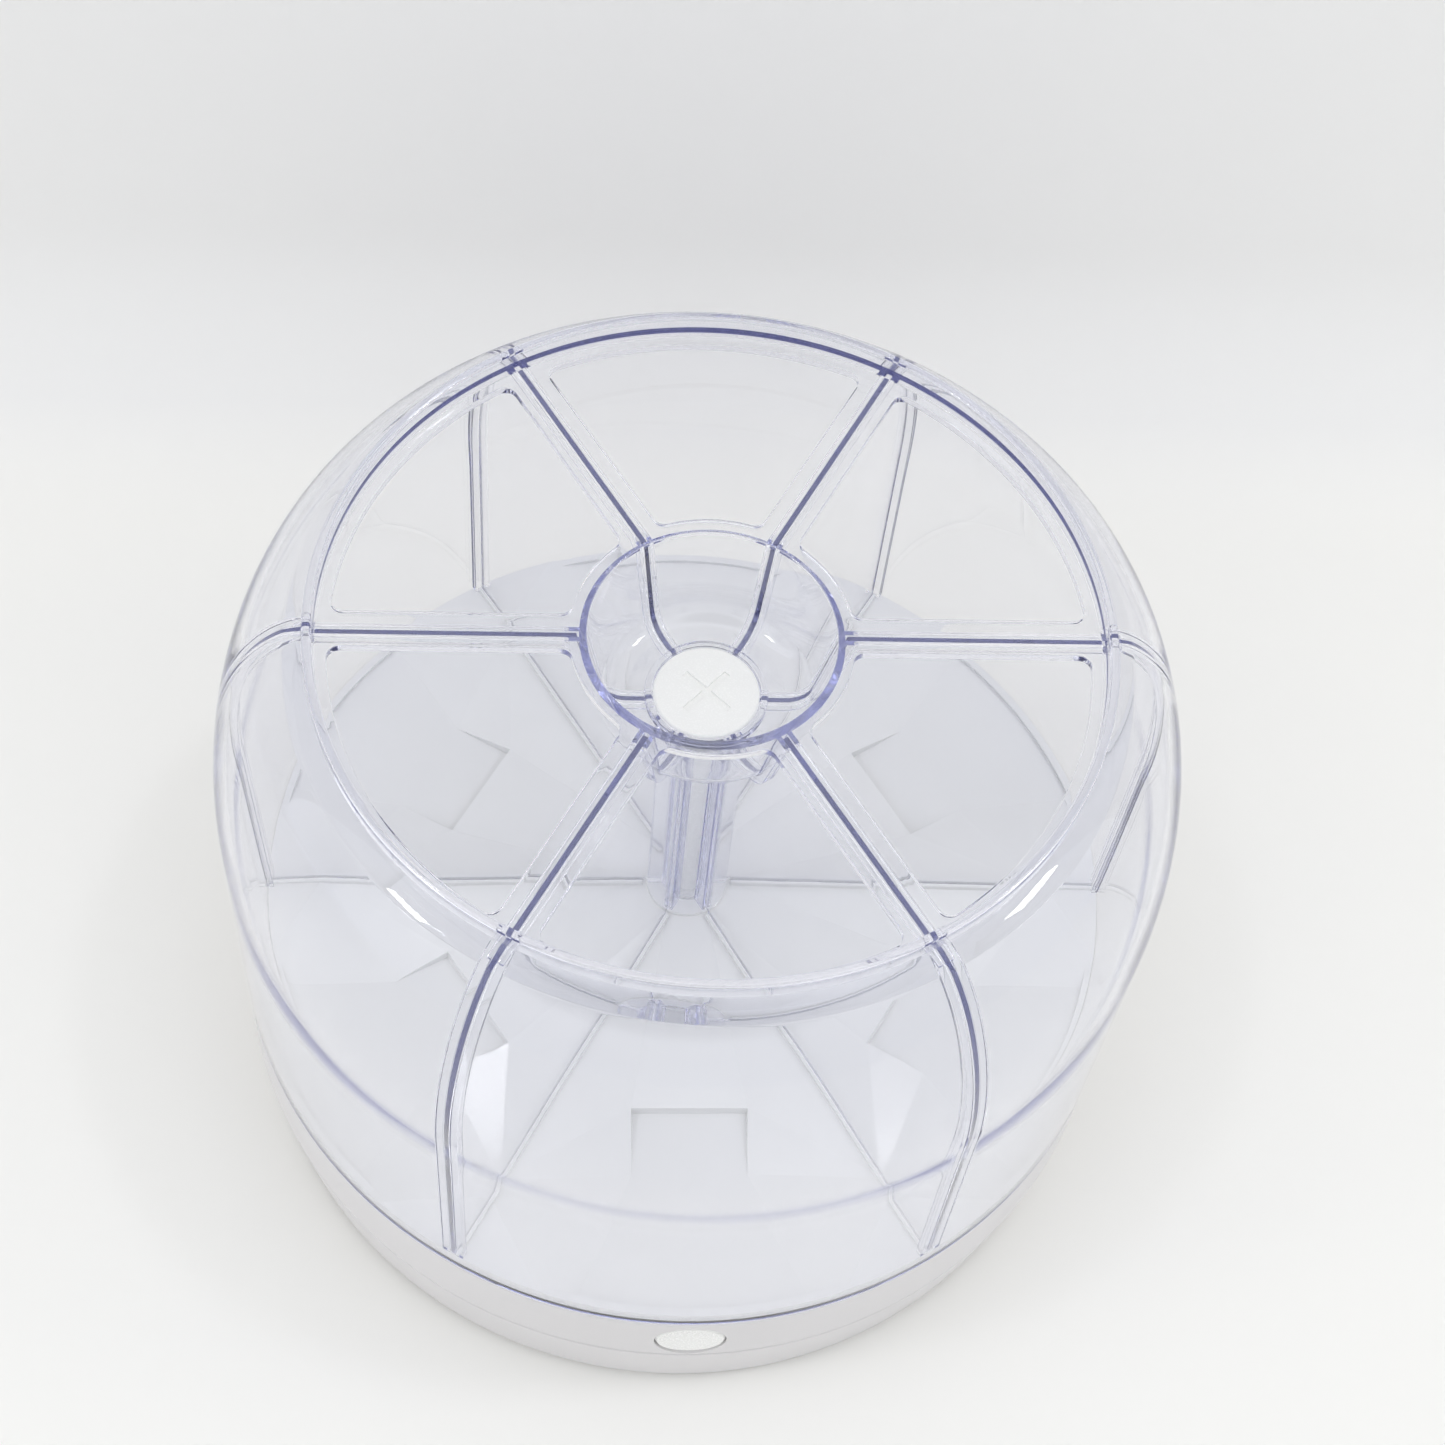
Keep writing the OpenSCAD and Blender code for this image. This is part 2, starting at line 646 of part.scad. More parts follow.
// One sector's corners: [radius, angle from the sector's middle, fall from the hub]
pocket_a_in = asin(pocket_w / 2 / pocket_r_in);
pocket_a_out = asin(pocket_w / 2 / pocket_r_out);
hub_lap = 2;               // how far the folds run in under the hub's edge
hub_fall = 1;              // fall of the floor at the hub's edge
fold_r = hub_r - hub_lap;
valley_a = asin(valley_w / 2 / fold_r);
draft = 0.4;               // how far a pocket's walls lean in
draft_a = atan(draft / pocket_r_in);
rim_over = 6;              // how far the folds run past the rim, which a cylinder then trims
rim_far = drum_r + rim_over;
far_fall = extend(divider_fall, rim_fall, crease_r);
far_middle_fall = extend(pocket_fall_out, middle_rim_fall, pocket_r_out);

// The fall at rim_far, on the line through a fall at a radius and the fall at the rim
function extend(fall, fall_at_rim, r) = fall + (fall_at_rim - fall) * (rim_far - r) / (tray_r - r);

// Height of the floor along a divider, outside the crease
function floor_at(r) =
    hub_top - divider_fall - (rim_fall - divider_fall) * (r - crease_r) / (tray_r - crease_r);

sector_top = [
    [fold_r, -step_a / 2, hub_fall], [crease_r, -step_a / 2, divider_fall],
    [rim_far, -step_a / 2, far_fall], [fold_r, -valley_a, hub_fall], [fold_r, valley_a, hub_fall],
    [pocket_r_in, -pocket_a_in, pocket_fall_in], [pocket_r_in, pocket_a_in, pocket_fall_in],
    [pocket_r_out, -pocket_a_out, pocket_fall_out], [pocket_r_out, pocket_a_out, pocket_fall_out],
    [rim_far, -step_a / 4, far_middle_fall], [rim_far, 0, far_middle_fall],
    [rim_far, step_a / 4, far_middle_fall],
    [pocket_r_in + draft, -pocket_a_in + draft_a, pocket_low_in],
    [pocket_r_in + draft, pocket_a_in - draft_a, pocket_low_in],
    [pocket_r_out - draft, -pocket_a_out + draft_a, pocket_low_out],
    [pocket_r_out - draft, pocket_a_out - draft_a, pocket_low_out]];

// How far each corner moves on the tray's underside: [radius, half width], so
// that the pocket's walls keep their thickness
wall_a = atan(tray_t / pocket_r_in);
under_shift = [for (i = [0:15])
    i == 5 || i == 12 ? [-tray_t, -wall_a] : i == 6 || i == 13 ? [-tray_t, wall_a] :
    i == 7 || i == 14 ? [tray_t, -wall_a] : i == 8 || i == 15 ? [tray_t, wall_a] : [0, 0]];

// Faces of one sector by corner number; 16 and up are the next sector's corners
sector_faces = [[3, 4, 6], [3, 6, 5], [0, 3, 5], [0, 5, 1], [1, 5, 7], [4, 16, 6], [16, 17, 6], [17, 8, 6],
    [1, 7, 9], [1, 9, 2], [7, 10, 9], [7, 8, 10], [8, 11, 10], [8, 17, 11], [17, 18, 11],
    [5, 6, 13], [5, 13, 12], [6, 8, 15], [6, 15, 13], [8, 7, 14], [8, 14, 15], [7, 5, 12], [7, 12, 14],
    [12, 13, 15], [12, 15, 14]];
hub_edge = [0, 3, 4, 16];
rim_edge = [2, 9, 10, 11, 18];

// The folded floor: each sector falls towards its pocket
module folded_floor() {
    n = len(sector_top);
    total = n * sectors;
    top = [for (k = [0:sectors - 1]) for (p = sector_top) let (q = polar(p[0], p[1] + (k + 0.5) * step_a))
        [q[0], q[1], hub_top - p[2]]];
    under = [for (k = [0:sectors - 1]) for (i = [0:n - 1])
        let (p = sector_top[i], s = under_shift[i],
            q = polar(p[0] + s[0], p[1] + s[1] + (k + 0.5) * step_a))
            [q[0], q[1], hub_top - p[2] - tray_t]];
    upper = [for (k = [0:sectors - 1]) for (f = sector_faces) [for (i = f) (i + k * n) % total]];
    lower = [for (f = upper) [for (i = reversed(f)) i + total]];
    hub_wall = [for (k = [0:sectors - 1]) for (i = [0:len(hub_edge) - 2])
        let (a = (hub_edge[i] + k * n) % total, b = (hub_edge[i + 1] + k * n) % total)
            each [[b, a, a + total], [b, a + total, b + total]]];
    rim_wall = [for (k = [0:sectors - 1]) for (i = [0:len(rim_edge) - 2])
        let (a = (rim_edge[i] + k * n) % total, b = (rim_edge[i + 1] + k * n) % total)
            each [[a, b, b + total], [a, b + total, a + total]]];
    polyhedron(concat(top, under), concat(upper, lower, hub_wall, rim_wall));
}

module floor_tray() {
    bore = stud_r + stud_clear;
    skirt_z = drum_z + 2 * play;
    color(white) {
        intersection() {
            folded_floor();
            ring(tray_r, (hub_r + fold_r) / 2, 0, lip_top);
        }
        ring(hub_r, bore, hub_bottom, hub_t);
        ring(tray_r, tray_r - tray_t, skirt_z, hub_top - rim_fall - skirt_drop - skirt_z);
    }
}

// Tube between the tray and the well, with grooves for the dividers
module divider_column() {
    z = hub_top + play;
    h = cup_bottom - hub_top - 2 * play;
    color(clear_tint) {
        ring(column_r, column_in, z, h);
        around(sectors) rib_pair(column_r - column_wall / 4, column_rib_r, z, z + h, spoke_rib_w);
    }
}

// A divider stands in the grooves of the drum, the column and the well
module divider(index) {
    foot_corner = drum_r - shell_wall - divider_gap - 2 * play;
    step_r = hub_r + divider_gap + 2 * play;
    outline = concat(
        [[column_r + divider_gap, hub_top + play], [step_r, hub_top + play], [step_r, hub_top - hub_fall],
            [crease_r, hub_top - divider_fall + 2 * play],
            [foot_corner, floor_at(foot_corner) + 2 * play]],
        [for (p = inner_face(divider_gap)) if (p[1] > shoulder_z - 1 && p[1] < ledge_z - divider_gap) p],
        [[lip_r, ledge_z - divider_gap], [hub_in + divider_gap, ledge_z - divider_gap]],
        [for (p = well_face(well_wall + divider_gap)) if (p[1] < ledge_z - 1) p],
        [[nut_cup_r + well_wall + divider_gap, well_floor - well_wall - divider_gap],
            [nut_cup_r + well_wall + divider_gap, cup_bottom - divider_gap],
            [column_r + divider_gap, cup_bottom - divider_gap]]);
    color(clear_tint) rotate((index - 1) * step_a) translate([0, divider_t / 2, 0])
        rotate([90, 0, 0]) linear_extrude(divider_t) polygon(outline);
}

module divider_1() { divider(1); }
module divider_2() { divider(2); }
module divider_3() { divider(3); }
module divider_4() { divider(4); }
module divider_5() { divider(5); }
module divider_6() { divider(6); }

// Wall below the shoulder, with grooves for the dividers
module drum_wall() {
    rib_zone = concat(inner_face(rib_depth), reversed(inner_face(-shell_wall / 3)));
    rib_foot = floor_at(drum_r - shell_wall - rib_depth) + 3 * play;
    color(clear_tint) {
        revolve([[drum_r, drum_z], [shoulder_r, shoulder_z], [shoulder_r - shell_wall, shoulder_z],
            [drum_r - shell_wall, drum_z]]);
        intersection() {
            revolve(rib_zone);
            around(sectors) rib_pair(lip_in, drum_r, rib_foot, shoulder_z - rib_end, wall_rib_w);
        }
    }
}

// Shoulder and standing lip, with grooves for the dividers
module drum_shoulder() {
    outline = concat(
        shoulder(shoulder_reach, shoulder_h, shoulder_end, 16),
        arc([lip_r - lip_wall / 3, lip_top - lip_wall / 3], lip_wall / 3, 0, 90, 3),
        arc([lip_r - lip_wall * 2 / 3, lip_top - lip_wall / 3], lip_wall / 3, 90, 180, 3),
        [[lip_in, ledge_z]],
        reversed(inner_shoulder(0)));
    rib_zone = concat(inner_shoulder(rib_depth), reversed(inner_shoulder(-shell_wall / 3)));
    color(clear_tint) {
        revolve(outline);
        intersection() {
            revolve(rib_zone);
            around(sectors) rib_pair(lip_in, drum_r, shoulder_z + rib_end, ledge_z, wall_rib_w);
        }
        around(sectors) rib_pair(lip_in + rib_end, lip_r + lip_wall, ledge_z - rib_depth,
            ledge_z + ledge_t / 2, spoke_rib_w);
    }
}

// Ledge, hub ring and the spokes between the windows, with grooves for the dividers below
module spoke_frame() {
    side = window_side();
    window = concat(side, reversed([for (p = side) mirrored(p)]));
    color(clear_tint) {
        difference() {
            ring(lip_in, hub_in, ledge_z, ledge_t);
            around(sectors) translate([0, 0, ledge_z - cut])
                linear_extrude(ledge_t + 2 * cut) polygon(window);
        }
        around(sectors) rib_pair(hub_in + rib_depth + play, lip_in - rib_end,
            ledge_z - rib_depth, ledge_z + ledge_t / 2, spoke_rib_w);
    }
}

// Cup in the middle of the spokes, with the cap's ring and the nut's recess
module centre_well() {
    corner = [well_r_bottom - well_corner_r, well_floor + well_corner_r];
    outline = concat(
        [[well_r_top, ledge_top]],
        arc(corner, well_corner_r, -well_taper, -90, 6),
        [[cap_ring_r, well_floor], [cap_ring_r, well_floor + cap_ring_h],
            [cap_r + cap_clear, well_floor + cap_ring_h], [cap_r + cap_clear, well_floor],
            [nut_cup_r, well_floor], [nut_cup_r, nut_seat], [stud_r + stud_clear, nut_seat],
            [stud_r + stud_clear, cup_bottom], [nut_cup_r + well_wall, cup_bottom],
            [nut_cup_r + well_wall, well_floor - well_wall]],
        reversed(arc(corner, well_corner_r + well_wall, -well_taper, -90, 6)),
        [[hub_in, ledge_z], [hub_in, ledge_top]]);
    rib_zone = concat(well_face(well_wall + rib_depth), reversed(well_face(well_wall / 2)));
    color(clear_tint) {
        revolve(outline);
        intersection() {
            revolve(rib_zone);
            around(sectors) rib_pair(nut_cup_r, hub_in + rib_depth + cut, cup_bottom, ledge_z, spoke_rib_w);
        }
    }
}

// ---- Centre fixing ----

module tie_rod() {
    neck = 3;
    foot = lower_nut_top - nut_h - stud_spare;
    shoulder_top = cup_bottom - 2 * play;
    tip = nut_seat + washer_t + nut_h + 4 * play;
    color(white) revolve([[0, foot], [stud_r, foot], [stud_r, hub_top], [rod_r - 1, hub_top],
        [rod_r, hub_top + neck], [rod_r, shoulder_top], [stud_r, shoulder_top], [stud_r, tip], [0, tip]]);
}

module upper_washer() {
    color(steel) ring(washer_r, stud_r + stud_clear, nut_seat, washer_t);
}

module upper_nut() {
    color(steel) hex_nut(nut_seat + washer_t);
}

// Cap over the nut, with a plain sunk cross
module centre_cap() {
    top = well_floor + cap_t;
    round_r = 0.7;
    round_a = 80;          // where the edge's rounding meets the crowned top
    crown = 0.3;
    skin = 1;
    cross_w = 1.7;
    cross_len = 15;
    cross_depth = 0.25;
    color(white) difference() {
        revolve(concat(
            [[nut_cup_r, well_floor + play], [cap_r, well_floor + play]],
            arc([cap_r - round_r, top - round_r], round_r, 0, round_a, 4),
            [[0, top + crown], [0, top - skin], [nut_cup_r, top - skin]]));
        for (a = [45, 135]) rotate(a) translate([-cross_len / 2, -cross_w / 2, top - cross_depth])
            cube([cross_len, cross_w, cap_t]);
    }
}

// ---- Button and lock ----

module push_button() {
    dish_r = (button_r * button_r + dish_depth * dish_depth) / (2 * dish_depth);
    bevel = 0.8;
    color(white) {
        difference() {
            translate([0, -button_back, button_h]) rotate([90, 0, 0]) {
                cylinder(r = button_r, h = button_t - bevel);
                translate([0, 0, button_t - bevel - eps])
                    cylinder(r1 = button_r, r2 = button_r - bevel, h = bevel + eps);
            }
            translate([0, -button_face - dish_r + dish_depth, button_h]) sphere(r = dish_r);
        }
        translate([-web_w / 2, -button_back - eps, tongue_z]) cube([web_w, web_t, button_h - tongue_z]);
        // Tongue whose ramp lifts the lock pin as the button goes in
        translate([-tongue_w / 2, 0, 0]) rotate([90, 0, 90]) linear_extrude(tongue_w) polygon([
            [-button_back, tongue_z], [-tongue_end, tongue_z], [-tongue_end, tongue_h],
            [-ramp_start, tongue_h], [-ramp_start - button_travel, tongue_h + button_travel],
            [-button_back, tongue_h + button_travel]]);
    }
}

module button_spring() {
    gap = 0.15;
    color(steel) translate([0, -tongue_end + gap, tongue_h - tongue_t / 2]) rotate([-90, 0, 0])
        coil(button_spring_r, tongue_end - spring_seat - 2 * gap);
}

module lock_pin() {
    bevel = 0.5;
    color(steel) translate([0, -lock_r, 0]) {
        translate([0, 0, pin_bottom]) cylinder(r = pin_r, h = pin_top - pin_bottom - bevel);
        translate([0, 0, pin_top - bevel - eps]) cylinder(r1 = pin_r, r2 = pin_r - bevel, h = bevel + eps);
        translate([0, 0, collar_z]) cylinder(r = collar_r, h = collar_t);
    }
}

module lock_pin_spring() {
    gap = 0.1;
    z = collar_z + collar_t + gap;
    color(steel) translate([0, -lock_r, z]) coil(pin_spring_r, deck_bottom - gap - z);
}

base_foot();
base_housing();
base_screws();
rubber_feet();
bushing();
lower_race();
ball_cage();
bearing_balls();
upper_race();
turntable_plate();
retaining_washer();
lower_nut();
floor_tray();
divider_column();
divider_1();
divider_2();
divider_3();
divider_4();
divider_5();
divider_6();
drum_wall();
drum_shoulder();
spoke_frame();
centre_well();
tie_rod();
upper_washer();
upper_nut();
centre_cap();
push_button();
button_spring();
lock_pin();
lock_pin_spring();
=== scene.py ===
"""A clear six-compartment turntable caddy on a low white base."""
import json
import math

import bmesh
import bpy
from mathutils import Matrix, Vector


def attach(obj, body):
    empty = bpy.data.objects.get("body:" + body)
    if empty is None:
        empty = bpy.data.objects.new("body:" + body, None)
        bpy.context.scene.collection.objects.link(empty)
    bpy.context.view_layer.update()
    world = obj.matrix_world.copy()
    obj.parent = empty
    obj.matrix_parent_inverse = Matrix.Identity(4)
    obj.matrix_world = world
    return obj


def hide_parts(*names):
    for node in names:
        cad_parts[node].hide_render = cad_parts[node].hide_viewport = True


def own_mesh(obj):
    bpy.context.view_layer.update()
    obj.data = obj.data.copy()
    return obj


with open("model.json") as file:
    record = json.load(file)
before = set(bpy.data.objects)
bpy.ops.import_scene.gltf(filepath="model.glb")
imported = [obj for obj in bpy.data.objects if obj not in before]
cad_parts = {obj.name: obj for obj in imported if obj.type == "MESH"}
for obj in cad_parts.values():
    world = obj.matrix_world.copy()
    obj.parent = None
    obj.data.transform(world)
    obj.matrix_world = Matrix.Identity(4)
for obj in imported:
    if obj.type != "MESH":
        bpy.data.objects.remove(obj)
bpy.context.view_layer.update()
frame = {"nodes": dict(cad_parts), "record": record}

MM = 0.001
SECTORS = 6
SECTOR_ANGLE = math.radians(360 / SECTORS)
ROUND_STEPS = 192
MERGE_DISTANCE = 0.002 * MM
FLAT_ANGLE = math.radians(0.2)


# ---- Camera ----

CAMERA_PLACE = Vector((-35.06, -298.52, 618.38)) * MM
CAMERA_AIM = Vector((4.9, 0.0, 148.4)) * MM
CAMERA_ROLL = math.radians(7.115)
SENSOR_MM = 36.0
LENS_MM = 54.97
CLIP_START = 0.01


def add_camera():
    data = bpy.data.cameras.new("camera")
    data.sensor_width = SENSOR_MM
    data.lens = LENS_MM
    data.clip_start = CLIP_START
    camera = bpy.data.objects.new("camera", data)
    bpy.context.scene.collection.objects.link(camera)
    facing = (CAMERA_AIM - CAMERA_PLACE).to_track_quat("-Z", "Y").to_matrix().to_4x4()
    roll = Matrix.Rotation(CAMERA_ROLL, 4, "Z")
    camera.matrix_world = Matrix.Translation(CAMERA_PLACE) @ facing @ roll
    bpy.context.scene.camera = camera


# ---- Modelling ----
# Outlines are lists of (across, up) points in millimetres.

def only(piece):
    """Make one object the active and only selected one."""
    bpy.ops.object.select_all(action="DESELECT")
    piece.select_set(True)
    bpy.context.view_layer.objects.active = piece


def edit(piece):
    """Go into edit mode with the whole mesh selected."""
    only(piece)
    bpy.ops.object.mode_set(mode="EDIT")
    bpy.ops.mesh.select_all(action="SELECT")


def done():
    """Leave edit mode."""
    bpy.ops.object.mode_set(mode="OBJECT")


def finish_shape(piece, name):
    """Leave edit mode with the place in the mesh, the faces outwards and the doubles merged."""
    bpy.ops.mesh.select_all(action="SELECT")
    bpy.ops.mesh.remove_doubles(threshold=MERGE_DISTANCE)
    bpy.ops.mesh.normals_make_consistent(inside=False)
    done()
    bpy.ops.object.transform_apply(location=True, rotation=True, scale=True)
    piece.name = name
    piece.data.name = name
    return piece


def arc(centre, radius, start, end, steps):
    """Points on an arc, from one angle to another in degrees."""
    angles = [math.radians(start + (end - start) * step / steps) for step in range(steps + 1)]
    across, up = centre
    return [(across + radius * math.cos(a), up + radius * math.sin(a)) for a in angles]


def between(x, x_from, x_to, y_from, y_to):
    """The height at x of the straight line through two points."""
    return y_from + (y_to - y_from) * (x - x_from) / (x_to - x_from)


def draw(points, plane):
    """Draw a line by extruding one corner from point to point. The plane gives a point's place."""
    places = [plane(*point) * MM for point in points]
    bpy.ops.object.select_all(action="DESELECT")
    bpy.ops.mesh.primitive_plane_add(size=MM, location=places[0])
    line = bpy.context.object
    bpy.ops.object.transform_apply(location=True)
    bpy.ops.object.mode_set(mode="EDIT")
    bpy.ops.mesh.select_mode(type="VERT")
    bpy.ops.mesh.select_all(action="SELECT")
    bpy.ops.mesh.merge(type="CENTER")
    for here, there in zip(places, places[1:]):
        bpy.ops.mesh.extrude_vertices_move(TRANSFORM_OT_translate={"value": there - here})
    return line


def upright(across, up):
    """A point in the upright plane through the turning axis."""
    return Vector((across, 0.0, up))


def level(across, up):
    """A point in the level plane."""
    return Vector((across, up, 0.0))


def turned(name, outline, steps=ROUND_STEPS):
    """Spin a closed outline about the turning axis."""
    piece = draw(outline + outline[:1], upright)
    bpy.ops.mesh.select_all(action="SELECT")
    bpy.ops.mesh.spin(steps=steps, angle=math.tau, center=(0, 0, 0), axis=(0, 0, 1))
    return finish_shape(piece, name)


def slab(name, outline, plane, direction, thickness):
    """A plate with an outline, extruded both ways from its plane."""
    piece = draw(outline + outline[:1], plane)
    bpy.ops.mesh.select_all(action="SELECT")
    bpy.ops.mesh.remove_doubles(threshold=MERGE_DISTANCE)
    bpy.ops.mesh.edge_face_add()
    bpy.ops.transform.translate(value=direction * (-thickness / 2 * MM))
    bpy.ops.mesh.extrude_region_move(
        TRANSFORM_OT_translate={"value": direction * (thickness * MM)})
    return finish_shape(piece, name)


def apply_modifier(piece, kind, **settings):
    """Add a modifier and make its result the mesh."""
    modifier = piece.modifiers.new(kind.lower(), kind)
    for key, value in settings.items():
        setattr(modifier, key, value)
    only(piece)
    bpy.ops.object.modifier_apply(modifier=modifier.name)


def soften(piece, width, segments=2, angle=30.0):
    """Round the edges that are sharper than an angle."""
    apply_modifier(piece, "BEVEL", width=width * MM, segments=segments, limit_method="ANGLE",
                   angle_limit=math.radians(angle), miter_outer="MITER_ARC")


def join_shape(piece, tool, operation="UNION"):
    """Add a tool's volume to a piece, or take it away, and delete the tool."""
    apply_modifier(piece, "BOOLEAN", object=tool, operation=operation, solver="EXACT")
    bpy.data.objects.remove(tool)


def copied(piece, name, place=Matrix()):
    """A copy with its own mesh, moved to its place."""
    mesh = piece.data.copy()
    mesh.name = name
    mesh.transform(place)
    copy = bpy.data.objects.new(name, mesh)
    bpy.context.scene.collection.objects.link(copy)
    return copy


def gathered(pieces, name):
    """Several objects joined in one."""
    bpy.ops.object.select_all(action="DESELECT")
    for piece in pieces:
        piece.select_set(True)
    bpy.context.view_layer.objects.active = pieces[0]
    bpy.ops.object.join()
    pieces[0].name = name
    return pieces[0]


def turn(angle):
    """A turn about the turning axis, in radians."""
    return Matrix.Rotation(angle, 4, "Z")


def around(piece, name):
    """One copy of a piece for each sector, joined in one object."""
    copies = [copied(piece, f"{name}_{k}", turn(SECTOR_ANGLE * k)) for k in range(SECTORS)]
    bpy.data.objects.remove(piece)
    return gathered(copies, name)


def smooth(piece, angle=38.0):
    """Shade round faces smooth, and keep the wide flat faces beside them flat."""
    only(piece)
    bpy.ops.object.shade_smooth_by_angle(angle=math.radians(angle))
    apply_modifier(piece, "WEIGHTED_NORMAL", weight=100, keep_sharp=True)


def carried_over(node, name):
    """A copy of a solid's mesh, its loose triangles merged and its flat faces made whole."""
    piece = copied(frame["nodes"][node], name)
    only(piece)
    bpy.ops.mesh.customdata_custom_splitnormals_clear()
    edit(piece)
    bpy.ops.mesh.remove_doubles(threshold=MERGE_DISTANCE)
    bpy.ops.mesh.dissolve_limited(angle_limit=FLAT_ANGLE)
    done()
    return piece


record = frame["record"]
BODY = {node: body for body, nodes in record["behaviour"]["bodies"].items() for node in nodes}


def stand_for(piece, material, *nodes):
    """The piece takes the place of solids, on their body and in their finish."""
    piece.data.materials.clear()
    piece.data.materials.append(material)
    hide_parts(*nodes)
    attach(piece, BODY[nodes[0]])


# ---- Shader writing ----

# The places of a Mix node's colour sockets, which share their names with its other sockets.
MIX_FIRST = 6
MIX_SECOND = 7
MIX_RESULT = 2


class Value:
    """A number socket that takes Python's arithmetic and adds a Math node for each step."""

    def __init__(self, nodes, socket):
        self.nodes = nodes
        self.socket = socket

    def step(self, operation, first, second):
        return self.nodes.add("Math", {"operation": operation}, first, second)

    def __rsub__(self, other):
        return self.step("SUBTRACT", other, self)

    def __sub__(self, other):
        return self.step("SUBTRACT", self, other)

    def __mul__(self, other):
        return self.step("MULTIPLY", self, other)

    __rmul__ = __mul__


class Nodes:
    """The node tree of one material, or of the world."""

    def __init__(self, owner, output="OutputMaterial"):
        self.owner = owner
        owner.use_nodes = True
        self.tree = owner.node_tree
        self.tree.nodes.clear()
        self.output = self.tree.nodes.new("ShaderNode" + output)

    def put(self, socket, value):
        """Set a socket to a number or a colour, or link it to a value."""
        if isinstance(value, Value):
            value = value.socket
        if isinstance(value, bpy.types.NodeSocket):
            self.tree.links.new(value, socket)
        else:
            socket.default_value = value

    def node(self, kind, settings=None, *inputs, **named):
        """Any node: its type, its settings, and what its sockets get in order or by name."""
        node = self.tree.nodes.new("ShaderNode" + kind)
        for key, value in (settings or {}).items():
            setattr(node, key, value)
        for index, value in enumerate(inputs):
            self.put(node.inputs[index], value)
        for key, value in named.items():
            self.put(node.inputs[key.replace("_", " ")], value)
        return node

    def add(self, kind, settings=None, *inputs, output=0, **named):
        return Value(self, self.node(kind, settings, *inputs, **named).outputs[output])

    def place(self):
        return self.add("TexCoord", output="Object")

    def noise(self, scale, detail):
        return self.add("TexNoise", None, Vector=self.place(), Scale=scale, Detail=detail)

    def fit(self, value, low, high, to_low=0.0, to_high=1.0):
        return self.add("MapRange", {"clamp": True}, value, low, high, to_low, to_high)

    def blend(self, factor, first, second):
        mix = self.node("Mix", {"data_type": "RGBA"}, factor)
        self.put(mix.inputs[MIX_FIRST], first)
        self.put(mix.inputs[MIX_SECOND], second)
        return Value(self, mix.outputs[MIX_RESULT])

    def bump(self, height, distance):
        return self.add("Bump", None, Height=height, Distance=distance)

    def principled(self, **named):
        return self.node("BsdfPrincipled", None, **named)

    def show(self, shader, socket="Surface"):
        """Link a shader to the output, and give back the material or world."""
        self.tree.links.new(shader.outputs[0], self.output.inputs[socket])
        return self.owner


def new_nodes(name):
    return Nodes(bpy.data.materials.new(name))


def opaque(colour):
    return (*colour, 1.0)


PLASTIC_IOR = 1.5
RIPPLE_SCALE = 22.0
HAZE_SCALE = 900.0
HAZE_SPREAD = (0.5, 0.8)
HAZE_ROUGHNESS = 0.015
CLOUD_SCALE = 14.0
CLOUD_SHADE = 0.965
GRAIN_SCALE = 2600.0
GRAIN_DEPTH = 0.000002
GRAIN_GLOSS = 0.04
COAT_ROUGHNESS = 0.08
STREAK_SCALE = (400.0, 400.0, 4000.0)
STREAK_DEPTH = 0.00001
STREAK_GLOSS = 0.08
RUBBER_SCALE = 1500.0
RUBBER_DEPTH = 0.00005
RUBBER_LIGHTER = 1.4
RUBBER_ROUGHNESS = (0.65, 0.85)
NOISE_SPREAD = (0.3, 0.7)


def clear_plastic(name, tint, density, ripple, passing):
    """Clear moulded plastic: its body colour shows along its edges, where light travels far in it.

    Light from the lamps and off dull surfaces passes straight through, weakened at each face.
    """
    nodes = new_nodes(name)
    wave = nodes.noise(RIPPLE_SCALE, detail=1.0)
    haze = nodes.fit(nodes.noise(HAZE_SCALE, detail=2.0), *HAZE_SPREAD, 0.0, HAZE_ROUGHNESS)
    clear = nodes.principled(
        Base_Color=opaque((1.0, 1.0, 1.0)), Roughness=haze, IOR=PLASTIC_IOR,
        Transmission_Weight=1.0, Normal=nodes.bump(wave, ripple)).outputs[0]
    straight = nodes.node("BsdfTransparent", None, Color=opaque(passing)).outputs[0]
    ray = nodes.node("LightPath").outputs
    off_dull = nodes.node("MixShader", None, ray["Is Diffuse Ray"], clear, straight).outputs[0]
    nodes.show(nodes.node("MixShader", None, ray["Is Shadow Ray"], off_dull, straight))
    body = nodes.node("VolumeAbsorption", None, Color=opaque(tint), Density=density)
    return nodes.show(body, "Volume")


def white_plastic(name, colour, roughness, coat=0.0):
    """Opaque moulded plastic with a fine grain and faint cloudiness."""
    nodes = new_nodes(name)
    cloud = nodes.fit(nodes.noise(CLOUD_SCALE, detail=3.0), *NOISE_SPREAD)
    shade = tuple(channel * CLOUD_SHADE for channel in colour)
    grain = nodes.noise(GRAIN_SCALE, detail=2.0)
    gloss = nodes.fit(grain, *NOISE_SPREAD, roughness - GRAIN_GLOSS, roughness + GRAIN_GLOSS)
    return nodes.show(nodes.principled(
        Base_Color=nodes.blend(cloud, opaque(shade), opaque(colour)), Roughness=gloss,
        IOR=PLASTIC_IOR, Coat_Weight=coat, Coat_Roughness=COAT_ROUGHNESS,
        Normal=nodes.bump(grain, GRAIN_DEPTH)))


